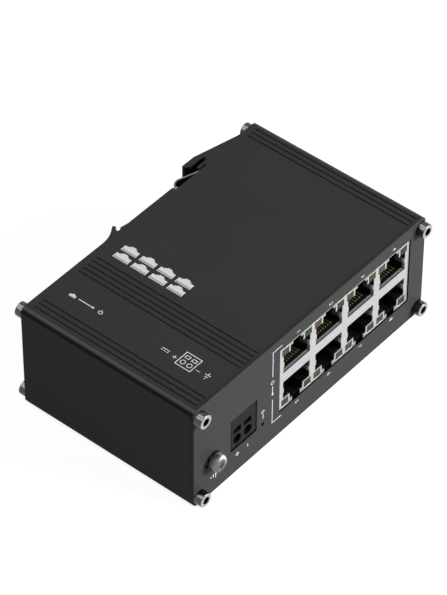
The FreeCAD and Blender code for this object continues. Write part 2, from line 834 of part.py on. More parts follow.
def port_lights(side):
    """One colour of port light: the same side of every socket in both rows."""
    lights = []
    for x in port_places:
        x0 = x + side * light_offset - light_width / 2
        x1 = x0 + light_width
        for _, towards_latch in port_rows:
            low, high = light_span(towards_latch)
            light = box(x0, x1, port_face, port_face + light_depth, low, high)
            if towards_latch < 0:
                lip = box(x0, x1, port_face, port_face + light_lip_depth,
                          port_bottom + light_lip_rise, low)
                light = fuse_all([light, lip])
            lights.append(light)
    return lights


def port_contacts(wall, towards_latch, leg_y):
    """Sprung wires of one row, from the board up, forward in their tray and back into the bay."""
    lie = wall - towards_latch * contact_tray_depth / 2
    bend_y = port_body_front + contact_front
    centre_line = [(leg_y, board_top),
                   (leg_y, lie),
                   (bend_y, lie),
                   (bend_y, wall + towards_latch * contact_hook),
                   (bend_y + contact_reach, wall + towards_latch * contact_drop)]
    outline = strip_outline(centre_line, contact_thickness)
    wires = []
    for x in port_places:
        first = x - (contact_count - 1) / 2 * contact_pitch - contact_width / 2
        for index in range(contact_count):
            x0 = first + index * contact_pitch
            wires.append(prism_along_x(outline, x0, x0 + contact_width))
    return wires


# ---- Parts on the board ----
behind_ports = port_block_back + transformer_gap
transformer_y = behind_ports + transformer_size[1] / 2
controller_y = behind_ports + transformer_size[1] + chip_spacing + poe_controller_size[1] / 2
sense_y = controller_y - (poe_controller_size[1] + sense_resistor_size[1]) / 2 - chip_spacing
chip_y = sense_y - (sense_resistor_size[1] + switch_chip_size[1]) / 2 - chip_spacing
chip_x = (port_places[0] + port_places[-1]) / 2


def transformers():
    length, width, height = transformer_size
    lead_pitch = width / (transformer_leads + 1)
    pieces = []
    for x in port_places:
        parts = [box(x - length / 2, x + length / 2,
                     transformer_y - width / 2, transformer_y + width / 2,
                     board_top + transformer_stand_off, board_top + height)]
        for side in (-1, 1):
            foot, tip = sorted((x + side * (length / 2 - transformer_lead_reach),
                                x + side * (length / 2 + transformer_lead_reach)))
            for index in range(transformer_leads):
                y = transformer_y - width / 2 + (index + 1) * lead_pitch
                parts.append(box(foot, tip, y - transformer_lead_width / 2,
                                 y + transformer_lead_width / 2,
                                 board_top, board_top + transformer_lead_height))
        pieces.append(fuse_all(parts))
    return pieces


def switch_chip():
    return on_board(chip_x, chip_y, switch_chip_size, below=True)


def thermal_pad():
    length, width, height = thermal_pad_size
    top = board_underside - switch_chip_size[2]
    return box(chip_x - length / 2, chip_x + length / 2,
               chip_y - width / 2, chip_y + width / 2, top - height, top)


def heat_spreader():
    """A block that carries the chip's heat from the pad to the lower wide wall."""
    length, width = heat_spreader_size
    top = board_underside - switch_chip_size[2] - thermal_pad_size[2]
    block = box(chip_x - length / 2, chip_x + length / 2,
                chip_y - width / 2, chip_y + width / 2, wide_wall, top)
    return round_edges_along(block, FreeCAD.Vector(0, 0, 1), corner_radius)


def poe_controllers():
    spread = (port_places[-1] - port_places[0]) / 3
    return [on_board(chip_x + side * spread, controller_y, poe_controller_size, below=True)
            for side in (-1, 1)]


def port_by_port(size, y):
    """One small part for each port, on the board's underside."""
    return [on_board(x + side * port_pitch / 4, y, size, below=True)
            for x in port_places for side in (-1, 1)]


def poe_transistors():
    y = controller_y + (poe_controller_size[1] + poe_transistor_size[1]) / 2 + chip_spacing
    return port_by_port(poe_transistor_size, y)


def sense_resistors():
    return port_by_port(sense_resistor_size, sense_y)


inner_left = left + end_wall
capacitor_radius = capacitor_diameter / 2
capacitor_y = sleeve_rear - power_rear_margin - capacitor_radius
capacitor_places = [inner_left + capacitor_inset + index * (capacitor_diameter + capacitor_gap)
                    for index in range(2)]
power_row_y = capacitor_y - capacitor_radius - power_row_gap
input_row_y = power_row_y - input_row_gap


def capacitors():
    """Round cans with a crimped groove near the board."""
    cans = []
    for x in capacitor_places:
        outline = [(0, 0),
                   (capacitor_radius, 0),
                   (capacitor_radius, capacitor_crimp - capacitor_groove),
                   (capacitor_radius - capacitor_groove, capacitor_crimp),
                   (capacitor_radius, capacitor_crimp + capacitor_groove),
                   (capacitor_radius, capacitor_height),
                   (0, capacitor_height)]
        corners = [FreeCAD.Vector(x + radius, capacitor_y, board_top + z)
                   for radius, z in outline]
        face = Part.Face(Part.makePolygon(corners + corners[:1]))
        cans.append(face.revolve(FreeCAD.Vector(x, capacitor_y, 0),
                                 FreeCAD.Vector(0, 0, 1), 360))
    return cans


def common_mode_choke():
    """A wound ring standing on its base."""
    x = inner_left + coil_inset
    length, width, height = choke_base_size
    base = on_board(x, power_row_y, choke_base_size)
    radius = choke_ring_diameter / 2
    z = board_top + height + radius - choke_ring_bevel
    ring = rod(x, z, radius, power_row_y - choke_ring_width / 2, power_row_y + choke_ring_width / 2)
    rims = [edge for edge in ring.Edges if len(edge.Vertexes) == 1]
    ring = ring.makeChamfer(choke_ring_bevel, rims)
    hole = rod(x, z, choke_ring_hole / 2, power_row_y - width, power_row_y + width)
    return cut_all(fuse_all([base, ring]), [hole])


def power_inductor():
    x = inner_left + inductor_inset
    half = inductor_size / 2
    block = box(x - half, x + half, power_row_y - half, power_row_y + half,
                board_top, board_top + inductor_height)
    return round_edges_along(block, FreeCAD.Vector(0, 0, 1), inductor_size / 6)


def input_fuse():
    return on_board(inner_left + fuse_inset, input_row_y, fuse_size)


def surge_diode():
    return on_board(inner_left + surge_diode_inset, input_row_y, surge_diode_size)


def regulator_chip():
    return on_board(inner_left + regulator_inset, input_row_y, regulator_size)


def crystal():
    return on_board(chip_x - switch_chip_size[0], chip_y, crystal_size, below=True)


def memory_chip():
    return on_board(chip_x + switch_chip_size[0] + chip_spacing, chip_y, memory_size, below=True)


pieces = {
    "housing_sleeve": housing_sleeve(),
    "front_panel": front_panel(),
    "rear_panel": rear_panel(),
    "rail_spring": rail_spring(),
    "front_screws": front_screws(),
    "rear_screws": rear_screws(),
    "ground_screw": ground_screw(),
    "ground_lock_washer": ground_lock_washer(),
    "circuit_board": circuit_board(),
    "power_header": power_header(),
    "header_pins": header_pins(),
    "power_plug": power_plug(),
    "plug_clamps": plug_clamps(),
    "power_light": power_light(),
    "port_housing": port_housing(),
    "port_shield": port_shield(),
    "lower_port_contacts": port_contacts(*port_rows[0], port_body_back + port_leads_depth / 4),
    "upper_port_contacts": port_contacts(*port_rows[1], port_body_back + port_leads_depth * 0.6),
    "green_port_lights": port_lights(1),
    "amber_port_lights": port_lights(-1),
    "lan_transformers": transformers(),
    "switch_chip": switch_chip(),
    "thermal_pad": thermal_pad(),
    "heat_spreader": heat_spreader(),
    "poe_controllers": poe_controllers(),
    "poe_transistors": poe_transistors(),
    "sense_resistors": sense_resistors(),
    "input_capacitors": capacitors(),
    "common_mode_choke": common_mode_choke(),
    "power_inductor": power_inductor(),
    "input_fuse": input_fuse(),
    "surge_diode": surge_diode(),
    "regulator_chip": regulator_chip(),
    "crystal": crystal(),
    "memory_chip": memory_chip(),
}

os.makedirs("parts", exist_ok=True)
for name, shapes in pieces.items():
    export(name, shapes)
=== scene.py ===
import json
import math

import bmesh
import bpy
from mathutils import Matrix, Vector


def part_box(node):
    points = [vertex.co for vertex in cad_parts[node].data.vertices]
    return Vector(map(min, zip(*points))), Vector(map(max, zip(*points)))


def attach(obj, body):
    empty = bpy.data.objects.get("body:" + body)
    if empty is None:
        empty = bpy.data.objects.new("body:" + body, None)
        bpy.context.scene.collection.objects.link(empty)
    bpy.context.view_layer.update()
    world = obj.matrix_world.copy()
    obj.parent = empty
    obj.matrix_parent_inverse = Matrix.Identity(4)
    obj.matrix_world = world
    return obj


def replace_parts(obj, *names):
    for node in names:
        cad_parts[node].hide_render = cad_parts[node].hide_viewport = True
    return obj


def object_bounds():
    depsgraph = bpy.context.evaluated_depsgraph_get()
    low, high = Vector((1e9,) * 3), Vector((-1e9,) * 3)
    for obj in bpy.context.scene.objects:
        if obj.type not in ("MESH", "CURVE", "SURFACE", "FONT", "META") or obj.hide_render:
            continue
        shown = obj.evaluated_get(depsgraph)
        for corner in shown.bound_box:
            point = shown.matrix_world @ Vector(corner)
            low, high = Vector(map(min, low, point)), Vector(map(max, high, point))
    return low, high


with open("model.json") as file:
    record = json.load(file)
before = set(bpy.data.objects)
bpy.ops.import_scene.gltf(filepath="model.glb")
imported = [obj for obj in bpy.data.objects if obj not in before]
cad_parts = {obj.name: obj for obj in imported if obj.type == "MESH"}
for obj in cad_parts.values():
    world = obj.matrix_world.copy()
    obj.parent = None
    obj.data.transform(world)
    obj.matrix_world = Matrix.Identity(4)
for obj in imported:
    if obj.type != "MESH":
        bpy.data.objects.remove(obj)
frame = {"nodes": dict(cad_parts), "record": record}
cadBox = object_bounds()
cadMiddle = (cadBox[0] + cadBox[1]) / 2
nodes = frame["nodes"]
mounts = {mount["name"]: Vector(mount["pos_m"]) for mount in frame["record"]["mounts"]}
mm = 0.001
print("frame loaded:", len(nodes), "nodes")


# selecting and shaping
def deselectAll():
    for obj in list(bpy.context.selected_objects):
        obj.select_set(False)


def makeActive(obj):
    deselectAll()
    obj.select_set(True)
    bpy.context.view_layer.objects.active = obj


def applyPlace(obj):
    makeActive(obj)
    bpy.ops.object.transform_apply(location=True, rotation=True, scale=True)


def applyModifier(obj, name, kind, **values):
    makeActive(obj)
    modifier = obj.modifiers.new(name, kind)
    for key, value in values.items():
        setattr(modifier, key, value)
    bpy.ops.object.modifier_apply(modifier=name)


def joinAll(parts, name):
    makeActive(parts[0])
    for part in parts:
        part.select_set(True)
    if len(parts) > 1:
        bpy.ops.object.join()
    whole = bpy.context.view_layer.objects.active
    whole.name = name
    whole.data.name = name
    return whole


def pickInEdit(obj, kind, wanted):
    # kind is "faces", "edges" or "verts"; wanted says which of them
    bm = bmesh.from_edit_mesh(obj.data)
    for group in (bm.verts, bm.edges, bm.faces):
        for item in group:
            item.select_set(False)
    for item in getattr(bm, kind):
        if wanted(item):
            item.select_set(True)
    bmesh.update_edit_mesh(obj.data)


def roundEdges(obj, wanted, offset, segments, **shape):
    bpy.ops.object.mode_set(mode="EDIT")
    pickInEdit(obj, "edges", wanted)
    bpy.ops.mesh.bevel(offset=offset, segments=segments, **shape)
    bpy.ops.object.mode_set(mode="OBJECT")


def addBlock(size, middle):
    deselectAll()
    bpy.ops.mesh.primitive_cube_add(size=1, location=middle)
    block = bpy.context.object
    block.scale = size
    applyPlace(block)
    return block


def addRod(radius, length, middle, sides):
    # a cylinder round the Y axis, with its middle that far along it
    deselectAll()
    bpy.ops.mesh.primitive_cylinder_add(vertices=sides, radius=radius, depth=length,
                                        location=(0, middle, 0), rotation=(math.pi / 2, 0, 0))
    rod = bpy.context.object
    applyPlace(rod)
    return rod


def copyTo(source, name, matrix):
    copy = source.copy()
    copy.data = source.data.copy()
    copy.name = name
    copy.data.name = name
    bpy.context.scene.collection.objects.link(copy)
    copy.data.transform(matrix)
    return copy


def cutAway(obj, tool):
    applyModifier(obj, "cut", "BOOLEAN", operation="DIFFERENCE", object=tool, solver="EXACT")
    bpy.data.objects.remove(tool)


def finishPiece(obj, material):
    applyPlace(obj)
    obj.data.materials.clear()
    obj.data.materials.append(material)
    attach(obj, "root")
    return obj


# shader groups that several finishes share
def newGroup(name, inputs, outputs):
    group = bpy.data.node_groups.new(name, "ShaderNodeTree")
    for label, kind, value in inputs:
        socket = group.interface.new_socket(label, in_out="INPUT", socket_type=kind)
        socket.default_value = value
    for label, kind in outputs:
        group.interface.new_socket(label, in_out="OUTPUT", socket_type=kind)
    start = group.nodes.new("NodeGroupInput")
    end = group.nodes.new("NodeGroupOutput")
    return group, start, end


def feed(tree, socket, value):
    # a number or a colour is set on the socket, and an output is linked to it
    if isinstance(value, (int, float)):
        socket.default_value = value
    elif isinstance(value, tuple):
        socket.default_value = (*value, 1.0)
    else:
        tree.links.new(value, socket)


def addMath(tree, operation, first, second=None, clamp=False):
    node = tree.nodes.new("ShaderNodeMath")
    node.operation = operation
    node.use_clamp = clamp
    feed(tree, node.inputs[0], first)
    if second is not None:
        feed(tree, node.inputs[1], second)
    return node.outputs[0]


def addVectorMath(tree, operation, first, second=None):
    node = tree.nodes.new("ShaderNodeVectorMath")
    node.operation = operation
    tree.links.new(first, node.inputs[0])
    if second is not None:
        tree.links.new(second, node.inputs[1])
    return node.outputs[0]


def objectCoords(tree):
    return tree.nodes.new("ShaderNodeTexCoord").outputs["Object"]


def apartXYZ(tree, vector):
    node = tree.nodes.new("ShaderNodeSeparateXYZ")
    tree.links.new(vector, node.inputs[0])
    return node.outputs


def placeParts(tree):
    return apartXYZ(tree, objectCoords(tree))


def normalParts(tree):
    return apartXYZ(tree, tree.nodes.new("ShaderNodeNewGeometry").outputs["Normal"])


def awayFrom(tree, value, middle):
    return addMath(tree, "ABSOLUTE", addMath(tree, "SUBTRACT", value, middle))


def addNoise(tree, vector, scale, detail=3.0, roughness=0.5):
    noise = tree.nodes.new("ShaderNodeTexNoise")
    noise.inputs["Detail"].default_value = detail
    noise.inputs["Roughness"].default_value = roughness
    tree.links.new(vector, noise.inputs["Vector"])
    feed(tree, noise.inputs["Scale"], scale)
    return noise.outputs["Fac"]


def addBump(tree, height, distance):
    bump = tree.nodes.new("ShaderNodeBump")
    tree.links.new(height, bump.inputs["Height"])
    feed(tree, bump.inputs["Distance"], distance)
    return bump.outputs["Normal"]


def mapRange(tree, value, fromLow, fromHigh, toLow, toHigh, smooth=False):
    node = tree.nodes.new("ShaderNodeMapRange")
    if smooth:
        node.interpolation_type = "SMOOTHSTEP"
    for label, given in (("Value", value), ("From Min", fromLow), ("From Max", fromHigh),
                         ("To Min", toLow), ("To Max", toHigh)):
        feed(tree, node.inputs[label], given)
    return node.outputs["Result"]


def fade(tree, value, start, end, smooth=True):
    # a mask that goes from 0 at the start to 1 at the end, whichever is the larger
    return mapRange(tree, value, start, end, 0.0, 1.0, smooth)


def buildGrainGroup():
    # fine bumps, a little change of roughness and a slow change of tone
    look = {"fineDetail": 2.0, "slowScale": 60.0, "slowDetail": 4.0}
    group, start, end = newGroup(
        "fineGrain",
        [("Scale", "NodeSocketFloat", 4000.0), ("Depth", "NodeSocketFloat", 0.00002),
         ("Roughness", "NodeSocketFloat", 0.5), ("Roughness Spread", "NodeSocketFloat", 0.08),
         ("Tone Spread", "NodeSocketFloat", 0.06)],
        [("Normal", "NodeSocketVector"), ("Roughness", "NodeSocketFloat"),
         ("Tone", "NodeSocketFloat")])
    given, links = start.outputs, group.links
    coords = objectCoords(group)
    fine = addNoise(group, coords, given["Scale"], look["fineDetail"])
    slow = addNoise(group, coords, look["slowScale"], look["slowDetail"])
    links.new(addBump(group, fine, given["Depth"]), end.inputs["Normal"])
    fineCentred = addMath(group, "SUBTRACT", fine, 0.5)
    slowCentred = addMath(group, "SUBTRACT", slow, 0.5)
    rough = addMath(group, "MULTIPLY", slowCentred, given["Roughness Spread"])
    links.new(addMath(group, "ADD", rough, given["Roughness"], clamp=True),
              end.inputs["Roughness"])
    slowTone = addMath(group, "MULTIPLY", slowCentred, given["Tone Spread"])
    fineTone = addMath(group, "MULTIPLY", fineCentred, given["Tone Spread"])
    tone = addMath(group, "ADD", slowTone, fineTone)
    links.new(addMath(group, "ADD", tone, 1.0), end.inputs["Tone"])
    return group


def buildEdgeGroup():
    # a mask along the edges of a box, broken up by noise: rubbed wear on paint, and painted
    # shade where it runs unbroken round the plug
    look = {"detail": 5.0, "roughness": 0.65, "softness": 0.2}
    group, start, end = newGroup(
        "edgeWear",
        [("Centre", "NodeSocketVector", (0.0, 0.0, 0.0)),
         ("Half Size", "NodeSocketVector", (0.05, 0.03, 0.018)),
         ("Width", "NodeSocketFloat", 0.0006), ("Breakup", "NodeSocketFloat", 900.0),
         ("Bare", "NodeSocketFloat", 0.42)],
        [("Mask", "NodeSocketFloat")])
    given = start.outputs
    coords = objectCoords(group)
    offset = addVectorMath(group, "SUBTRACT", coords, given["Centre"])
    room = addVectorMath(group, "SUBTRACT", given["Half Size"],
                         addVectorMath(group, "ABSOLUTE", offset))
    x, y, z = apartXYZ(group, room)
    # the middle one of the three distances is small only near an edge
    middle = addMath(group, "MAXIMUM", addMath(group, "MINIMUM", x, y),
                     addMath(group, "MINIMUM", addMath(group, "MAXIMUM", x, y), z))
    near = fade(group, middle, given["Width"], 0.0)
    noise = addNoise(group, coords, given["Breakup"], look["detail"], look["roughness"])
    full = addMath(group, "ADD", given["Bare"], look["softness"])
    patchy = fade(group, noise, given["Bare"], full)
    group.links.new(addMath(group, "MULTIPLY", near, patchy), end.inputs["Mask"])
    return group


def buildDustGroup():
    # fine dust that lies on faces turned upwards, thicker in some places
    look = {"facing": (0.3, 0.95), "specks": (0.5, 0.75), "speckDetail": 6.0,
            "speckRoughness": 0.7, "driftScale": 35.0, "driftDetail": 2.0,
            "drift": (0.4, 0.7), "leastDrift": 0.3}
    group, start, end = newGroup(
        "fineDust",
        [("Amount", "NodeSocketFloat", 0.1), ("Scale", "NodeSocketFloat", 700.0)],
        [("Mask", "NodeSocketFloat")])
    upward = fade(group, normalParts(group)["Z"], *look["facing"])
    coords = objectCoords(group)
    fine = addNoise(group, coords, start.outputs["Scale"], look["speckDetail"],
                    look["speckRoughness"])
    specks = fade(group, fine, *look["specks"], smooth=False)
    slow = addNoise(group, coords, look["driftScale"], look["driftDetail"])
    drift = mapRange(group, slow, *look["drift"], look["leastDrift"], 1.0)
    mask = addMath(group, "MULTIPLY", addMath(group, "MULTIPLY", upward, specks), drift)
    group.links.new(addMath(group, "MULTIPLY", mask, start.outputs["Amount"]),
                    end.inputs["Mask"])
    return group


def buildBrushGroup():
    # drawn or turned metal: streaks along one axis of the object
    look = {"detail": 3.0, "roughness": 0.6}
    group, start, end = newGroup(
        "brushedLines",
        [("Stretch", "NodeSocketVector", (1.0, 40.0, 40.0)),
         ("Scale", "NodeSocketFloat", 300.0), ("Depth", "NodeSocketFloat", 0.00001),
         ("Roughness", "NodeSocketFloat", 0.3), ("Roughness Spread", "NodeSocketFloat", 0.15)],
        [("Normal", "NodeSocketVector"), ("Roughness", "NodeSocketFloat"),
         ("Streak", "NodeSocketFloat")])
    given, links = start.outputs, group.links
    stretched = addVectorMath(group, "MULTIPLY", objectCoords(group), given["Stretch"])
    streak = addNoise(group, stretched, given["Scale"], look["detail"], look["roughness"])
    links.new(addBump(group, streak, given["Depth"]), end.inputs["Normal"])
    centred = addMath(group, "SUBTRACT", streak, 0.5)
    rough = addMath(group, "MULTIPLY", centred, given["Roughness Spread"])
    links.new(addMath(group, "ADD", rough, given["Roughness"], clamp=True),
              end.inputs["Roughness"])
    links.new(streak, end.inputs["Streak"])
    return group


groups = {
    "grain": buildGrainGroup(),
    "edge": buildEdgeGroup(),
    "dust": buildDustGroup(),
    "brush": buildBrushGroup(),
}


# finishes, with lengths in metres
def newMaterial(name):
    material = bpy.data.materials.new(name)
    material.use_nodes = True
    tree = material.node_tree
    return material, tree, tree.nodes["Principled BSDF"]


def placeGroup(tree, key, **values):
    node = tree.nodes.new("ShaderNodeGroup")
    node.node_tree = groups[key]
    for label, value in values.items():
        node.inputs[label.replace("_", " ")].default_value = value
    return node


def mixColours(tree, mask, first, second, blend="MIX"):
    node = tree.nodes.new("ShaderNodeMix")
    node.data_type = "RGBA"
    node.blend_type = blend
    feed(tree, node.inputs["Factor"], mask)
    feed(tree, node.inputs["A"], first)
    feed(tree, node.inputs["B"], second)
    return node.outputs["Result"]


def toneColour(tree, colour, tone):
    # a colour made a little lighter or darker by a grey value near 1
    grey = tree.nodes.new("ShaderNodeCombineColor")
    for socket in grey.inputs[:3]:
        tree.links.new(tone, socket)
    return mixColours(tree, 1.0, colour, grey.outputs["Color"], "MULTIPLY")


def linkFinish(tree, shader, colour, effect):
    tree.links.new(colour, shader.inputs["Base Color"])
    tree.links.new(effect.outputs["Roughness"], shader.inputs["Roughness"])
    tree.links.new(effect.outputs["Normal"], shader.inputs["Normal"])


plainLook = {"specular": 0.5, "metallic": 0.0, "coat": 0.0, "coatRoughness": 0.2,
             "edgeBare": 0.42}


def grainyMaterial(name, look, ground=None):
    # moulded, painted or printed surfaces; ground makes a colour that varies by place
    look = {**plainLook, **look}
    material, tree, shader = newMaterial(name)
    grain = placeGroup(tree, "grain", Scale=look["grainScale"], Depth=look["grainDepth"],
                       Roughness=look["roughness"], Roughness_Spread=look["roughnessSpread"],
                       Tone_Spread=look["toneSpread"])
    colour = look["colour"] if ground is None else ground(tree, look)
    colour = toneColour(tree, colour, grain.outputs["Tone"])
    if "edgeHalf" in look:
        edge = placeGroup(tree, "edge", Centre=look["edgeCentre"], Half_Size=look["edgeHalf"],
                          Width=look["edgeWidth"], Breakup=look["edgeBreakup"],
                          Bare=look["edgeBare"])
        colour = mixColours(tree, edge.outputs["Mask"], colour, look["edgeColour"])
    if "dust" in look:
        dust = placeGroup(tree, "dust", Amount=look["dust"])
        colour = mixColours(tree, dust.outputs["Mask"], colour, look["dustColour"])
    linkFinish(tree, shader, colour, grain)
    for label, key in (("Specular IOR Level", "specular"), ("Metallic", "metallic"),
                       ("Coat Weight", "coat"), ("Coat Roughness", "coatRoughness")):
        shader.inputs[label].default_value = look[key]
    return material


def metalMaterial(name, look):
    # bare, plated or drawn metal
    material, tree, shader = newMaterial(name)
    brush = placeGroup(tree, "brush", Stretch=look["stretch"], Scale=look["scale"],
                       Depth=look["depth"], Roughness=look["roughness"],
                       Roughness_Spread=look["roughnessSpread"])
    streak = fade(tree, brush.outputs["Streak"], *look["streakRange"], smooth=False)
    colour = mixColours(tree, streak, look["colourDark"], look["colour"])
    if "dullBetween" in look:
        # darker metal where the place along Y passes from bright to dull: painted shade on the
        # parts behind the bright faces, and a painted dark reflection on the screws' flanks
        away = addMath(tree, "ABSOLUTE", placeParts(tree)["Y"])
        dull = fade(tree, away, *look["dullBetween"])
        dullColour = mixColours(tree, streak, look["dullColourDark"], look["dullColour"])
        colour = mixColours(tree, dull, colour, dullColour)
    if "wornBetween" in look:
        # painted highlight where the surface leans towards +X
        worn = fade(tree, normalParts(tree)["X"], *look["wornBetween"])
        colour = mixColours(tree, worn, colour, look["wornColour"])
    linkFinish(tree, shader, colour, brush)
    shader.inputs["Metallic"].default_value = 1.0
    return material


def boxOf(name):
    low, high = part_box(name)
    return (low + high) / 2, (high - low) / 2


paint = {
    "colour": (0.055, 0.055, 0.0555), "grainScale": 5200.0, "grainDepth": 0.000008,
    "roughness": 0.4, "roughnessSpread": 0.10, "toneSpread": 0.12, "specular": 0.02,
    "edgeColour": (0.085, 0.085, 0.086), "edgeWidth": 0.0008, "edgeBreakup": 700.0,
    "dust": 0.015, "dustColour": (0.2, 0.195, 0.19),
}


def paintMaterial(name, nodeName, ground, longEdgesOnly=False, **changes):
    middle, half = boxOf(nodeName)
    if longEdgesOnly:
        half = Vector((half.x, 1.0, half.z))  # so far along Y that no end is near
    look = {**paint, "edgeCentre": tuple(middle), "edgeHalf": tuple(half), **changes}
    return grainyMaterial(name, look, ground)


def roundedGround(tree, look):
    # painted highlight on the shoulders where the flat faces turn into the rounded long edges,
    # then painted shade on the turn below; both go by the upright part of the normal
    upright = addMath(tree, "ABSOLUTE", normalParts(tree)["Z"])
    shoulder = addMath(tree, "MULTIPLY", fade(tree, upright, *look["shoulderStart"]),
                       fade(tree, upright, *look["shoulderEnd"]))
    turned = addMath(tree, "MULTIPLY", fade(tree, upright, *look["turnStart"]),
                     fade(tree, upright, *look["turnEnd"]))
    colour = mixColours(tree, shoulder, look["colour"], look["shoulderColour"])
    return mixColours(tree, turned, colour, look["turnColour"])


def sleeveGround(tree, look):
    # the floors of the grooves are painted lighter, painted light standing in for the light
    # that reaches into them
    place, centre = placeParts(tree), look["edgeCentre"]
    away = awayFrom(tree, place["X"], centre[0])
    high = awayFrom(tree, place["Z"], centre[2])
    reach, top, depth = look["grooveReach"], look["edgeHalf"][2], look["grooveDepth"]
    clear = fade(tree, away, reach + depth, reach, smooth=False)
    below = fade(tree, high, top - depth / 3, top - depth, smooth=False)
    colour = roundedGround(tree, look)
    return mixColours(tree, addMath(tree, "MULTIPLY", clear, below), colour,
                      look["grooveColour"])


def rearGround(tree, look):
    # the inner walls of the trough round the rail spring are painted dark, painted shade in
    # the deep trough
    middle, half = boxOf("rail_spring")
    along = awayFrom(tree, placeParts(tree)["X"], middle.x)
    edge = half.x + look["troughReach"]
    near = fade(tree, along, edge + look["troughFade"], edge, smooth=False)
    normal = normalParts(tree)
    inward = fade(tree, normal["Y"], *look["troughInward"], smooth=False)
    upright = fade(tree, addMath(tree, "ABSOLUTE", normal["Z"]), *look["troughUpright"],
                   smooth=False)
    wall = addMath(tree, "MULTIPLY", inward, upright)
    colour = roundedGround(tree, look)
    return mixColours(tree, addMath(tree, "MULTIPLY", near, wall), colour,
                      look["troughColour"])


def panelGround(tree, look):
    # the face of the plate and its outer sides, a lit and a shaded copy of one paint, and the
    # walls of its windows painted black as painted shade
    flat = addMath(tree, "ABSOLUTE", normalParts(tree)["Y"])
    turned = fade(tree, flat, *look["faceTurn"])
    place = placeParts(tree)
    window, room = boxOf("power_plug")
    within, beyond = [], []
    for axis, number in (("X", 0), ("Z", 2)):
        away = awayFrom(tree, place[axis], look["edgeCentre"][number])
        start, end = (look["edgeHalf"][number] - rim for rim in look["outerRim"])
        within.append(fade(tree, away, start, end, smooth=False))
        away = awayFrom(tree, place[axis], window[number])
        beyond.append(addMath(tree, "SUBTRACT", away, room[number]))
    sides = roundedGround(tree, {**look, "colour": look["sideColour"]})
    inside = addMath(tree, "MULTIPLY", *within)
    walls = mixColours(tree, inside, sides, look["wallColour"])
    # a dark line round the plug's window: painted shade of the gap
    outline = fade(tree, addMath(tree, "MAXIMUM", *beyond), *look["windowLine"])
    face = mixColours(tree, outline, look["colour"], look["lineColour"])
    return mixColours(tree, turned, face, walls)


plastic = {
    "colour": (0.012, 0.012, 0.013), "grainScale": 6500.0, "grainDepth": 0.00001,
    "roughness": 0.45, "roughnessSpread": 0.12, "toneSpread": 0.12, "specular": 0.4,
}
chipPlastic = {
    "colour": (0.018, 0.018, 0.02), "grainScale": 9000.0, "grainDepth": 0.00002,
    "roughness": 0.7, "roughnessSpread": 0.1, "toneSpread": 0.2, "specular": 0.35,
}
# the darker flank colours are painted shade and painted dark reflection on the screws
screwSteel = {
    "colour": (0.50, 0.50, 0.51), "colourDark": (0.40, 0.40, 0.41), "stretch": (1.0, 8.0, 1.0),
    "scale": 900.0, "depth": 0.000004, "roughness": 0.24, "roughnessSpread": 0.12,
    "streakRange": (0.3, 0.7), "dullColour": (0.085, 0.085, 0.088),
    "dullColourDark": (0.055, 0.055, 0.057),
}
portLight = {**plastic, "grainScale": 1500.0, "toneSpread": 1.8, "specular": 0.15}
# painted highlight and painted shade on the rounded long edges
shoulders = {
    "shoulderColour": (0.125, 0.125, 0.127), "turnColour": (0.022, 0.022, 0.0222),
    "shoulderStart": (0.999, 0.965), "shoulderEnd": (0.70, 0.86),
    "turnStart": (0.74, 0.6), "turnEnd": (0.0, 0.3),
}

plugMiddle, plugHalf = boxOf("power_plug")
grainyLooks = {
    # the plug's unbroken dark edge is painted shade of the gap round it
    "plugPlastic": {
        **plastic, "colour": (0.015, 0.015, 0.0154), "roughness": 0.5, "specular": 0.06,
        "edgeCentre": tuple(plugMiddle), "edgeHalf": tuple(plugHalf),
        "edgeWidth": 0.0004, "edgeColour": (0.003, 0.003, 0.003), "edgeBreakup": 900.0,
        "edgeBare": -1.0},
    "portPlastic": {
        **plastic, "colour": (0.005, 0.005, 0.0055), "roughness": 0.6, "specular": 0.12},
    "chipPlastic": chipPlastic,
    "ceramic": {**plastic, "colour": (0.62, 0.60, 0.55)},
    "ferrite": {**chipPlastic, "colour": (0.05, 0.05, 0.052)},
    "thermalRubber": {**chipPlastic, "colour": (0.30, 0.32, 0.36)},
    "whiteInk": {
        **plastic, "colour": (0.97, 0.97, 0.97), "roughness": 0.6, "toneSpread": 0.03},
    "greenLight": {**portLight, "colour": (0.018, 0.038, 0.014)},
    "amberLight": {**portLight, "colour": (0.060, 0.046, 0.028)},
    "clearResin": {
        **plastic, "colour": (0.45, 0.50, 0.45), "roughness": 0.2, "coat": 0.6},
    "liningMetal": {
        **plastic, "colour": (0.50, 0.50, 0.50), "roughness": 0.4, "metallic": 0.25},
    "contactGold": {
        **plastic, "colour": (0.17, 0.14, 0.055), "roughness": 0.4, "metallic": 0.3},
}
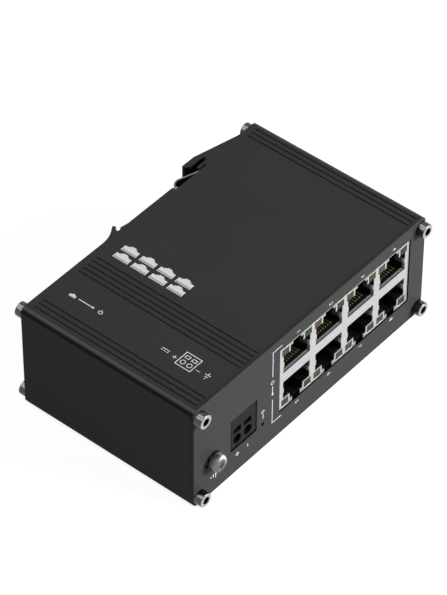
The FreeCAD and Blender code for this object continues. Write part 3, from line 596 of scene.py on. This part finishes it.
metalLooks = {
    "screwSteel": {**screwSteel, "dullBetween": (0.03314, 0.03304)},
    # the ground screw's head carries a painted highlight on its +X side
    "groundSteel": {
        **screwSteel, "colour": (0.19, 0.19, 0.194), "colourDark": (0.12, 0.12, 0.123),
        "roughness": 0.4, "wornBetween": (0.05, 0.4), "wornColour": (0.78, 0.78, 0.78)},
    "darkSteel": {
        **screwSteel, "colour": (0.10, 0.10, 0.105), "colourDark": (0.05, 0.05, 0.052),
        "roughness": 0.45},
    "springSteel": {
        **screwSteel, "colour": (0.20, 0.20, 0.205), "colourDark": (0.13, 0.13, 0.135),
        "stretch": (8.0, 8.0, 0.3), "roughness": 0.3},
    # the shield's parts behind its front face take painted shade
    "shieldMetal": {
        **screwSteel, "colour": (0.58, 0.58, 0.58), "colourDark": (0.48, 0.48, 0.485),
        "stretch": (1.0, 1.0, 12.0), "scale": 500.0, "roughness": 0.42,
        "dullBetween": (0.0300, 0.0292), "dullColour": (0.20, 0.20, 0.205),
        "dullColourDark": (0.15, 0.15, 0.155)},
    "goldContact": {
        **screwSteel, "colour": (0.50, 0.36, 0.14), "colourDark": (0.36, 0.25, 0.09),
        "roughness": 0.3},
    "tinnedBrass": {
        **screwSteel, "colour": (0.70, 0.69, 0.66), "colourDark": (0.6, 0.58, 0.52)},
    "milledAluminium": {
        **screwSteel, "colour": (0.78, 0.78, 0.79), "colourDark": (0.68, 0.68, 0.70),
        "stretch": (0.3, 10.0, 1.0), "roughness": 0.35},
}

materials = {
    # the sleeve's grooves carry painted light
    "sleevePaint": paintMaterial(
        "sleevePaint", "housing_sleeve", sleeveGround, longEdgesOnly=True,
        grooveColour=(0.10, 0.10, 0.102), grooveReach=0.0475, grooveDepth=0.0003, **shoulders),
    "frontPaint": paintMaterial(
        # the face colour and the darker side colour are a lit and a shaded copy of one paint
        "frontPaint", "front_panel", panelGround, colour=(0.070, 0.069, 0.071),
        sideColour=(0.046, 0.046, 0.047), wallColour=(0.004, 0.004, 0.004),
        outerRim=(0.00135, 0.0015), faceTurn=(0.75, 0.35), windowLine=(0.00042, 0.0003),
        # the window walls and the line round the plug's window are painted shade
        lineColour=(0.012, 0.012, 0.012), edgeColour=(0.085, 0.084, 0.086),
        edgeWidth=0.0004, **shoulders),
    # the rear plate's trough walls take painted shade
    "rearPaint": paintMaterial(
        "rearPaint", "rear_panel", rearGround, longEdgesOnly=True, edgeWidth=0.0005,
        troughReach=0.001, troughFade=0.001, troughInward=(0.2, 0.0),
        troughUpright=(0.6, 0.3), troughColour=(0.008, 0.008, 0.008), **shoulders),
    **{name: grainyMaterial(name, look) for name, look in grainyLooks.items()},
    **{name: metalMaterial(name, look) for name, look in metalLooks.items()},
}


def boardMaterial():
    # green solder mask with lighter tracks over the copper
    material, tree, shader = newMaterial("boardLaminate")
    look = {"mask": (0.012, 0.075, 0.03), "track": (0.03, 0.15, 0.06), "trackScale": 420.0,
            "trackEdge": (0.09, 0.05), "trackDepth": 0.00003, "roughness": 0.35}
    tracks = tree.nodes.new("ShaderNodeTexVoronoi")
    tracks.feature = "DISTANCE_TO_EDGE"
    tracks.inputs["Scale"].default_value = look["trackScale"]
    tree.links.new(objectCoords(tree), tracks.inputs["Vector"])
    lines = fade(tree, tracks.outputs["Distance"], *look["trackEdge"], smooth=False)
    tree.links.new(mixColours(tree, lines, look["mask"], look["track"]),
                   shader.inputs["Base Color"])
    tree.links.new(addBump(tree, lines, look["trackDepth"]), shader.inputs["Normal"])
    shader.inputs["Roughness"].default_value = look["roughness"]
    return material


def canMaterial():
    # printed sleeve on the side of an aluminium can, bare metal on its top
    material, tree, shader = newMaterial("capacitorCan")
    look = {"sleeve": (0.02, 0.022, 0.03), "metal": (0.72, 0.72, 0.73), "topTurn": (0.8, 0.95),
            "grainScale": 2500.0, "grainDepth": 0.00001, "roughness": 0.35}
    top = fade(tree, normalParts(tree)["Z"], *look["topTurn"], smooth=False)
    grain = placeGroup(tree, "grain", Scale=look["grainScale"], Depth=look["grainDepth"],
                       Roughness=look["roughness"])
    linkFinish(tree, shader, mixColours(tree, top, look["sleeve"], look["metal"]), grain)
    tree.links.new(top, shader.inputs["Metallic"])
    return material


materials["boardLaminate"] = boardMaterial()
materials["capacitorCan"] = canMaterial()

nodeMaterials = {
    "housing_sleeve": "sleevePaint", "front_panel": "frontPaint", "rear_panel": "rearPaint",
    "rail_spring": "springSteel", "front_screws": "screwSteel", "rear_screws": "screwSteel",
    "ground_screw": "screwSteel", "ground_lock_washer": "darkSteel",
    "circuit_board": "boardLaminate", "power_header": "portPlastic",
    "header_pins": "tinnedBrass", "power_plug": "plugPlastic", "plug_clamps": "springSteel",
    "power_light": "clearResin", "port_housing": "portPlastic", "port_shield": "shieldMetal",
    "lower_port_contacts": "goldContact", "upper_port_contacts": "goldContact",
    "green_port_lights": "greenLight", "amber_port_lights": "amberLight",
    "lan_transformers": "chipPlastic", "switch_chip": "chipPlastic",
    "thermal_pad": "thermalRubber", "heat_spreader": "milledAluminium",
    "poe_controllers": "chipPlastic", "poe_transistors": "chipPlastic",
    "sense_resistors": "ceramic", "input_capacitors": "capacitorCan",
    "common_mode_choke": "ferrite", "power_inductor": "ferrite", "input_fuse": "ceramic",
    "surge_diode": "chipPlastic", "regulator_chip": "chipPlastic",
    "crystal": "milledAluminium", "memory_chip": "chipPlastic",
}
for nodeName, materialName in nodeMaterials.items():
    slots = nodes[nodeName].data.materials
    slots.clear()
    slots.append(materials[materialName])
print("materials:", len(materials), "on", len(nodeMaterials), "nodes")


# fasteners, sizes in millimetres
smoothAngle = math.radians(35)

capScrew = {
    "headRadius": 2.25, "headHeight": 2.5, "shankRadius": 1.25, "shankLength": 10.0,
    "socketAcross": 2.0, "socketDepth": 1.2, "rimRound": 0.24, "mouthRadius": 1.24,
    "mouthDepth": 0.3, "sides": 64, "shankSides": 32, "rimSteps": 4,
    "frontTurn": 0.3, "rearTurn": 0.8,
}


def screwCentres(nodeName):
    # the middle of each screw of a node, from the corners of the node's box
    low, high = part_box(nodeName)
    radius = capScrew["headRadius"] * mm
    return [(x, z) for x in (low.x + radius, high.x - radius)
            for z in (low.z + radius, high.z - radius)]


def makeCapScrew(name):
    # seated at the origin, with its head along -Y and its shank along +Y
    look = capScrew
    height, length = look["headHeight"] * mm, look["shankLength"] * mm
    head = addRod(look["headRadius"] * mm, height, -height / 2, look["sides"])
    roundEdges(head, lambda edge: all(v.co.y < -height / 2 for v in edge.verts),
               look["rimRound"] * mm, look["rimSteps"])
    cutAway(head, addRod(look["socketAcross"] / math.sqrt(3) * mm,
                         look["socketDepth"] * 2 * mm, -height, 6))
    cutAway(head, addRod(look["mouthRadius"] * mm, look["mouthDepth"] * 2 * mm, -height,
                         look["sides"]))
    shank = addRod(look["shankRadius"] * mm, length, length / 2, look["shankSides"])
    screw = joinAll([head, shank], name)
    bpy.ops.object.shade_smooth_by_angle(angle=smoothAngle)
    return screw


def placeCapScrews():
    pattern = makeCapScrew("capScrewPattern")
    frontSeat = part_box("front_panel")[0].y
    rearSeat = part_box("rear_screws")[1].y - capScrew["headHeight"] * mm
    for index, (x, z) in enumerate(screwCentres("front_screws")):
        turn = Matrix.Rotation(capScrew["frontTurn"] + index, 4, "Y")
        piece = copyTo(pattern, f"frontScrew{index + 1}",
                       Matrix.Translation((x, frontSeat, z)) @ turn)
        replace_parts(finishPiece(piece, materials["screwSteel"]), "front_screws")
    for index, (x, z) in enumerate(screwCentres("rear_screws")):
        turn = (Matrix.Rotation(math.pi, 4, "Z")
                @ Matrix.Rotation(capScrew["rearTurn"] + index, 4, "Y"))
        piece = copyTo(pattern, f"rearScrew{index + 1}",
                       Matrix.Translation((x, rearSeat, z)) @ turn)
        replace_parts(finishPiece(piece, materials["screwSteel"]), "rear_screws")
    bpy.data.objects.remove(pattern)
    print("cap screws ready")


placeCapScrews()


panScrew = {
    "headRadius": 2.8, "headHeight": 2.4, "rimRound": 1.2, "rimProfile": 0.45,
    "rimSteps": 7, "shankRadius": 1.5, "shankLength": 7.6, "recessLength": 3.3,
    "recessWidth": 0.95, "recessDepth": 1.35, "recessTaper": 0.45, "turn": 20.0, "sides": 64,
    "shankSides": 32,
}


def makeGroundScrew():
    # the top of the head is at the node's lowest Y
    look = panScrew
    low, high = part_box("ground_screw")
    height, length = look["headHeight"] * mm, look["shankLength"] * mm
    head = addRod(look["headRadius"] * mm, height, height / 2, look["sides"])
    roundEdges(head, lambda edge: all(v.co.y < height / 2 for v in edge.verts),
               look["rimRound"] * mm, look["rimSteps"], profile=look["rimProfile"])
    # each slot of the cross is a bar whose inner end is drawn in
    for angle in (look["turn"], look["turn"] + 90):
        slot = addBlock((look["recessLength"] * mm, look["recessDepth"] * 2 * mm,
                         look["recessWidth"] * mm), (0, 0, 0))
        bpy.ops.object.mode_set(mode="EDIT")
        pickInEdit(slot, "faces", lambda face: face.normal.y > 0.9)
        bpy.ops.transform.resize(value=(look["recessTaper"], 1, look["recessTaper"]),
                                 center_override=(0, look["recessDepth"] * mm, 0))
        bpy.ops.object.mode_set(mode="OBJECT")
        slot.data.transform(Matrix.Rotation(math.radians(angle), 4, "Y"))
        cutAway(head, slot)
    shank = addRod(look["shankRadius"] * mm, length, height + length / 2, look["shankSides"])
    screw = joinAll([head, shank], "groundScrew")
    bpy.ops.object.shade_smooth_by_angle(angle=smoothAngle)
    screw.data.transform(Matrix.Translation(((low.x + high.x) / 2, low.y,
                                             (low.z + high.z) / 2)))
    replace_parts(finishPiece(screw, materials["groundSteel"]), "ground_screw")
    print("ground screw ready")


makeGroundScrew()


# thin lining at the mouth of each network socket: a floor strip with its two ends turned up
lining = {"width": 11.66, "bayHeight": 6.42, "wallHeight": 2.2, "depth": 0.6,
          "forward": 0.27, "thickness": 0.08}


def makeSocketLinings():
    look = lining
    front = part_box("port_housing")[0].y
    strips = []
    for number in range(1, 9):
        centre = mounts[f"network_port_{number}"]
        latchSide = 1 if number <= 4 else -1
        strip = addBlock(
            (look["width"] * mm, look["depth"] * mm, look["wallHeight"] * mm),
            (centre.x, front + (look["depth"] / 2 - look["forward"]) * mm,
             centre.z - latchSide * (look["bayHeight"] - look["wallHeight"]) / 2 * mm))
        bpy.ops.object.mode_set(mode="EDIT")
        pickInEdit(strip, "faces", lambda face: abs(face.normal.y) > 0.9
                   or face.normal.z * latchSide > 0.9)
        bpy.ops.mesh.delete(type="FACE")
        bpy.ops.object.mode_set(mode="OBJECT")
        applyModifier(strip, "sheet", "SOLIDIFY", thickness=look["thickness"] * mm,
                      offset=-1.0)
        strips.append(strip)
    whole = joinAll(strips, "socketLinings")
    finishPiece(whole, materials["liningMetal"])
    print("socket linings:", len(strips))


makeSocketLinings()


# tips of the contacts, lying on the floor of each upper socket
contactTip = {"width": 0.42, "height": 0.3, "length": 2.9, "overlap": 0.3, "sink": 0.05,
              "round": 0.1, "roundSteps": 3, "count": 8}


def makeContactTips():
    look = contactTip
    low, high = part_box("upper_port_contacts")
    first = mounts["network_port_1"]
    span = mounts["network_port_4"].x - first.x
    reach = (high.x - low.x - span) / 2 - look["width"] / 2 * mm
    floorLevel = first.z - lining["bayHeight"] / 2 * mm
    tip = addBlock((look["width"] * mm, look["length"] * mm, look["height"] * mm),
                   (0, low.y - (look["length"] / 2 - look["overlap"]) * mm,
                    floorLevel + (look["height"] / 2 - look["sink"]) * mm))
    roundEdges(tip, lambda edge: all(v.co.z > floorLevel for v in edge.verts),
               look["round"] * mm, look["roundSteps"])
    tips = []
    for number in range(1, 5):
        centre = mounts[f"network_port_{number}"].x
        for index in range(look["count"]):
            x = centre + reach * (2 * index / (look["count"] - 1) - 1)
            tips.append(copyTo(tip, f"tip{number}{index}", Matrix.Translation((x, 0, 0))))
    bpy.data.objects.remove(tip)
    whole = joinAll(tips, "contactTips")
    finishPiece(whole, materials["contactGold"])
    print("contact tips:", len(tips), "floor level", round(floorLevel / mm, 3))


makeContactTips()


# narrow lips of the shield, folded over the outer edge of every port light
lightLip = {"width": 3.02, "thickness": 0.12, "proud": 0.04, "round": 0.04,
            "roundSteps": 3, "offset": 4.85, "upperHeight": 0.36, "upperInset": 0.5,
            "lowerHeight": 0.5, "lowerInset": 0.12}


def makeLightLips():
    look = lightLip
    shieldLow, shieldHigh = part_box("port_shield")

    def frontAlongX(edge):
        first, second = (v.co for v in edge.verts)
        return (abs(first.x - second.x) > look["width"] / 2 * mm
                and first.y < shieldLow.y and second.y < shieldLow.y)

    lips = []
    for number in range(1, 9):
        centre = mounts[f"network_port_{number}"]
        if number <= 4:
            height = look["upperHeight"] * mm
            middle = shieldHigh.z - look["upperInset"] * mm - height / 2
        else:
            height = look["lowerHeight"] * mm
            middle = shieldLow.z + look["lowerInset"] * mm + height / 2
        for side in (-1, 1):
            lip = addBlock(
                (look["width"] * mm, look["thickness"] * mm, height),
                (centre.x + side * look["offset"] * mm,
                 shieldLow.y + (look["thickness"] / 2 - look["proud"]) * mm, middle))
            roundEdges(lip, frontAlongX, look["round"] * mm, look["roundSteps"])
            lips.append(lip)
    whole = joinAll(lips, "lightLips")
    finishPiece(whole, materials["shieldMetal"])
    print("light lips:", len(lips))


makeLightLips()


# printed marks, drawn in millimetres with u to the right and v upwards as they are read;
# a sign is given by what its function takes: its place, then its sizes
ink = {"thickness": 0.02, "sink": 0.004, "line": 0.27}

frontMarks = {
    "numberSize": 2.0, "numberAbove": 1.9, "numberBelow": 1.85,
    "bracketFoot": 0.6, "bracketSpine": -3.3, "bracketGap": 8.8,
    "bracketPower": (-2.2, -3.3, 1.7), "bracketArrow": (-0.7, 2.9, -3.3, 1.7),
    "lightPlace": (0.1, 3.9), "lightPower": (-0.9, 0, 1.5), "lightCurrent": (1.0, 0, 1.6),
    "poleRise": 6.7, "plus": (0, 0, 1.5, 0.3), "minus": (-0.55, -0.15, 0.55, 0.15),
    "groundPlace": (1.0, -0.4), "ground": (0, 0, 2.5),
}

topMarks = {
    "mapPlace": (-15.35, 12.9), "jackPitch": (6.5, 3.5), "jackSize": (5.3, 2.9),
    "outputPlace": (-37.05, 17.8), "outputJack": (-5.4, 0, 2.2, 1.3),
    "outputArrow": (-3.3, 2.4, 0, 1.6), "outputPower": (4.6, 0.05, 1.7),
    "plugPlace": (-36.0, -17.1), "plugSide": 5.5, "holeOffset": 1.15, "holeDrop": 1.0,
    "holeRadius": 0.85, "holeLine": 0.24, "releaseHalf": 0.8, "releaseFrom": 0.55,
    "releaseTo": 1.75, "plus": (-4.05, -1.0, 1.3, 0.2), "minus": (3.45, -1.1, 4.75, -0.9),
    "current": (-7.6, -0.6, 2.6), "ground": (7.2, -0.6, 1.9),
}


def bar(u0, v0, u1, v1):
    return [(u0, v0), (u1, v0), (u1, v1), (u0, v1)]


def circle(u, v, radius, steps=24):
    return [(u + radius * math.cos(math.tau * step / steps),
             v + radius * math.sin(math.tau * step / steps)) for step in range(steps)]


def bow(u, v, radius, width, fromAngle, toAngle, steps=24):
    # part of a ring
    angles = [math.radians(fromAngle + (toAngle - fromAngle) * step / steps)
              for step in range(steps + 1)]
    outer = [(u + radius * math.cos(a), v + radius * math.sin(a)) for a in angles]
    inner = [(u + (radius - width) * math.cos(a), v + (radius - width) * math.sin(a))
             for a in reversed(angles)]
    return outer + inner


def powerSign(u, v, size):
    radius, width, drop, rise = (size * share for share in (0.42, 0.13, 0.06, 0.52))
    return [bow(u, v - drop, radius, width, 125, 415),
            bar(u - width / 2, v, u + width / 2, v + rise)]


def directCurrentSign(u, v, width):
    thick, dash = width * 0.09, width * 0.24
    signs = [bar(u - width / 2, v + thick, u + width / 2, v + 2 * thick)]
    for step in (-1, 0, 1):
        middle = u + step * (width - dash) / 2
        signs.append(bar(middle - dash / 2, v - 2 * thick, middle + dash / 2, v - thick))
    return signs


def groundSign(u, v, size):
    thick, rise, drop = size * 0.13, size * 0.55, size * 0.4
    signs = [bar(u - thick / 2, v + thick, u + thick / 2, v + rise)]
    for step, share in enumerate((1.0, 0.55, 0.22)):
        half, level = size * share / 2, v - step * drop
        signs.append(bar(u - half, level, u + half, level + thick))
    return signs


def plusSign(u, v, size, width):
    half, arm = width / 2, size / 2
    corner = [(-arm, -half), (-half, -half), (-half, -arm)]
    points = []
    for right, up in ((1, 0), (0, 1), (-1, 0), (0, -1)):
        points += [(u + a * right - b * up, v + a * up + b * right) for a, b in corner]
    return [points]


def arrowSign(u0, u1, v, size):
    # a shaft from u0 to u1 with its head at u1
    half, wing, neck = size * 0.09, size * 0.32, u1 - size * 0.5
    return [[(u0, v - half), (neck, v - half), (neck, v - wing), (u1, v),
             (neck, v + wing), (neck, v + half), (u0, v + half)]]


def jackSign(u, v, width, height):
    # a socket seen from the front: eight contacts below, two steps for the latch above
    half, tooth = width / 2, width / 13
    pitch = (width - tooth) / 7
    foot, gum, shoulder = v - height / 2, v - height * 0.22, v + height * 0.22
    wide, narrow, step = width * 0.26, width * 0.15, v + height * 0.36
    outline = []
    for index in range(8):
        left = u - half + index * pitch
        outline += [(left, foot), (left + tooth, foot)]
        if index < 7:
            outline += [(left + tooth, gum), (left + pitch, gum)]
    rise = [(half, shoulder), (wide, shoulder), (wide, step), (narrow, step),
            (narrow, v + height / 2)]
    outline += [(u + a, b) for a, b in rise]
    outline += [(u - a, b) for a, b in reversed(rise)]
    return [outline]


def inkMesh(outlines):
    curve = bpy.data.curves.new("ink", "CURVE")
    curve.dimensions = "2D"
    curve.fill_mode = "BOTH"
    for points in outlines:
        spline = curve.splines.new("POLY")
        spline.points.add(len(points) - 1)
        for spot, (u, v) in zip(spline.points, points):
            spot.co = (u, v, 0, 1)
        spline.use_cyclic_u = True
    flat = bpy.data.objects.new("ink", curve)
    bpy.context.scene.collection.objects.link(flat)
    makeActive(flat)
    bpy.ops.object.convert(target="MESH")
    return bpy.context.object


def inkText(body, size):
    deselectAll()
    bpy.ops.object.text_add()
    text = bpy.context.object
    text.data.body = body
    text.data.size = size
    text.data.align_x = "CENTER"
    text.data.align_y = "CENTER"
    bpy.ops.object.convert(target="MESH")
    return bpy.context.object


def onFront(x, z):
    # reads towards -Z with its top towards +X, on the front plate
    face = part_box("front_panel")[0].y + ink["sink"] * mm
    turn = Matrix(((0, 1, 0, x), (0, 0, -1, face), (-1, 0, 0, z), (0, 0, 0, 1)))
    return turn @ Matrix.Scale(mm, 4)


def onTop(place):
    # reads towards -Y with its top towards +X, on the upper wide face
    x, y = (number * mm for number in place)
    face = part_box("housing_sleeve")[1].z - ink["sink"] * mm
    turn = Matrix(((0, 1, 0, x), (-1, 0, 0, y), (0, 0, 1, face), (0, 0, 0, 1)))
    return turn @ Matrix.Scale(mm, 4)


def printMark(name, pairs):
    # pairs of a flat mesh and its place
    for flat, place in pairs:
        flat.data.transform(place)
    whole = joinAll([flat for flat, place in pairs], name)
    bpy.ops.object.mode_set(mode="EDIT")
    bpy.ops.mesh.select_all(action="SELECT")
    bpy.ops.mesh.beautify_fill(angle_limit=math.pi)
    bpy.ops.object.mode_set(mode="OBJECT")
    applyModifier(whole, "coat", "SOLIDIFY", thickness=ink["thickness"] * mm, offset=1.0)
    applyPlace(whole)
    whole.data.materials.clear()
    whole.data.materials.append(materials["whiteInk"])
    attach(whole, "root")


def printFrontMarks():
    look = frontMarks
    shieldLow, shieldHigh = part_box("port_shield")
    above = shieldHigh.z + look["numberAbove"] * mm
    below = shieldLow.z - look["numberBelow"] * mm
    numbers = []
    for number in range(1, 9):
        centre = mounts[f"network_port_{number}"]
        numbers.append((inkText(str(number), look["numberSize"]),
                        onFront(centre.x, above if number <= 4 else below)))
    printMark("portNumbers", numbers)

    # a bracket round the sockets' near end, open in its middle for a small pictogram
    half, foot, spine = ink["line"] / 2, look["bracketFoot"], look["bracketSpine"]
    arms = []
    for side in (-1, 1):
        end = (above - below) / mm / 2 * side
        mouth = look["bracketGap"] / 2 * side
        corner = [(end + half * side, spine - half), (end + half * side, foot),
                  (end - half * side, foot), (end - half * side, spine + half),
                  (mouth, spine + half), (mouth, spine - half)]
        arms.append(corner if side < 0 else corner[::-1])
    signs = powerSign(*look["bracketPower"]) + arrowSign(*look["bracketArrow"])
    printMark("portBracket", [(inkMesh(arms + signs),
                               onFront(shieldLow.x, (above + below) / 2))])

    light = boxOf("power_light")[0]
    x, z = (number * mm for number in look["lightPlace"])
    signs = powerSign(*look["lightPower"]) + directCurrentSign(*look["lightCurrent"])
    printMark("powerMark", [(inkMesh(signs), onFront(light.x + x, light.z + z))])

    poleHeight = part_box("front_panel")[0].z + look["poleRise"] * mm
    printMark("poleMarks", [
        (inkMesh(plusSign(*look["plus"])),
         onFront(mounts["positive_wire_entry"].x, poleHeight)),
        (inkMesh([bar(*look["minus"])]),
         onFront(mounts["negative_wire_entry"].x, poleHeight))])

    x, z = (number * mm for number in look["groundPlace"])
    printMark("groundMark", [(inkMesh(groundSign(*look["ground"])),
                              onFront(mounts["ground_terminal"].x + x, poleHeight + z))])


def printTopMarks():
    # a map of the sockets, two rows of four, in large solid signs
    look = topMarks
    across, down = look["jackPitch"]
    jacks = []
    for row in range(2):
        for column in range(4):
            jacks += jackSign((column - 1.5) * across, (row - 0.5) * down, *look["jackSize"])
    printMark("portMap", [(inkMesh(jacks), onTop(look["mapPlace"]))])

    # what the sockets give out: a socket, an arrow and a power sign
    signs = (jackSign(*look["outputJack"]) + arrowSign(*look["outputArrow"])
             + powerSign(*look["outputPower"]))
    printMark("outputMark", [(inkMesh(signs), onTop(look["outputPlace"]))])

    # the power plug's poles, beside a picture of the plug's face
    half = look["plugSide"] / 2
    inner = half - ink["line"]
    signs = [bar(-half, -half, half, half), bar(-inner, -inner, inner, inner)]
    drop, radius, thin = look["holeDrop"], look["holeRadius"], look["holeLine"]
    side, low, high = look["releaseHalf"], look["releaseFrom"], look["releaseTo"]
    for offset in (-look["holeOffset"], look["holeOffset"]):
        signs += [circle(offset, -drop, radius), circle(offset, -drop, radius - thin),
                  bar(offset - side, low, offset + side, high),
                  bar(offset - side + thin, low + thin, offset + side - thin, high - thin)]
    signs += plusSign(*look["plus"]) + [bar(*look["minus"])]
    signs += directCurrentSign(*look["current"]) + groundSign(*look["ground"])
    printMark("plugMark", [(inkMesh(signs), onTop(look["plugPlace"]))])


printFrontMarks()
printTopMarks()
print("printed marks ready")


# camera, light and floor; angles in degrees, lens and sensor in millimetres, other
# lengths in metres, power in watts
camera = {
    "azimuth": -50.14, "elevation": 44.53, "roll": 0.233, "lens": 216.3, "sensor": 36.0,
    "distance": 0.9928, "aimOffset": (0.00135, 0.00178, 0.00221),
}
lamps = {
    "keyLamp": {"azimuth": 30, "elevation": 22, "distance": 0.9, "size": 0.5, "power": 8.6},
    "rearLamp": {"azimuth": -144, "elevation": 56, "distance": 0.9, "size": 0.6,
                 "power": 1.9},
    "rearGlow": {"azimuth": -144, "elevation": 56, "distance": 0.9, "size": 0.9,
                 "power": 16.0, "onlyShine": True},
}
surroundings = {"fill": 0.08, "floorSize": 2.4, "floorDrop": 0.00002,
                "floorColour": (0.52, 0.52, 0.52), "floorRoughness": 0.9, "floorGlow": 0.85}


def directionOf(look):
    # azimuth 0 looks along +Y, so this points back from the middle to the viewer
    azimuth, elevation = math.radians(look["azimuth"]), math.radians(look["elevation"])
    return Vector((math.sin(azimuth) * math.cos(elevation),
                   -math.cos(azimuth) * math.cos(elevation), math.sin(elevation)))


def addCamera():
    back = directionOf(camera)
    deselectAll()
    bpy.ops.object.camera_add(
        location=cadMiddle + Vector(camera["aimOffset"]) + back * camera["distance"])
    eye = bpy.context.object
    turn = (-back).to_track_quat("-Z", "Y").to_matrix() @ Matrix.Rotation(
        math.radians(camera["roll"]), 3, "Z")
    eye.rotation_euler = turn.to_euler()
    eye.data.lens = camera["lens"]
    eye.data.sensor_width = camera["sensor"]
    bpy.context.scene.camera = eye


def addLamp(name, look):
    back = directionOf(look)
    deselectAll()
    bpy.ops.object.light_add(type="AREA", location=cadMiddle + back * look["distance"])
    lamp = bpy.context.object
    lamp.name = name
    lamp.rotation_euler = (-back).to_track_quat("-Z", "Y").to_euler()
    lamp.data.shape = "DISK"
    lamp.data.size = look["size"]
    lamp.data.energy = look["power"]
    lamp.visible_diffuse = not look.get("onlyShine", False)  # else seen in reflections alone


def seenDirectly(tree):
    # 1 where the camera, a reflection or a glassy piece looks at the surface
    path = tree.nodes.new("ShaderNodeLightPath")
    seen = addMath(tree, "MAXIMUM", path.outputs["Is Camera Ray"],
                   path.outputs["Is Glossy Ray"])
    return addMath(tree, "MAXIMUM", seen, path.outputs["Is Transmission Ray"])


def addWorld():
    world = bpy.data.worlds.new("studioWorld")
    bpy.context.scene.world = world
    world.use_nodes = True
    tree = world.node_tree
    background = tree.nodes["Background"]
    background.inputs["Color"].default_value = (1, 1, 1, 1)
    tree.links.new(mapRange(tree, seenDirectly(tree), 0.0, 1.0, surroundings["fill"], 1.0),
                   background.inputs["Strength"])


def addFloor():
    look = surroundings
    deselectAll()
    bpy.ops.mesh.primitive_plane_add(size=look["floorSize"],
                                     location=(0, 0, cadBox[0].z - look["floorDrop"]))
    floor = bpy.context.object
    floor.name = "floor"
    material, tree, shader = newMaterial("paleFloor")
    shader.inputs["Base Color"].default_value = (*look["floorColour"], 1)
    shader.inputs["Roughness"].default_value = look["floorRoughness"]
    shader.inputs["Specular IOR Level"].default_value = 0.0
    shader.inputs["Emission Color"].default_value = (1, 1, 1, 1)
    tree.links.new(addMath(tree, "MULTIPLY", seenDirectly(tree), look["floorGlow"]),
                   shader.inputs["Emission Strength"])
    floor.data.materials.append(material)


addCamera()
for lampName, lampLook in lamps.items():
    addLamp(lampName, lampLook)
addWorld()
addFloor()
bpy.context.scene.view_settings.view_transform = "Standard"
print("camera, lamps, world and floor ready")
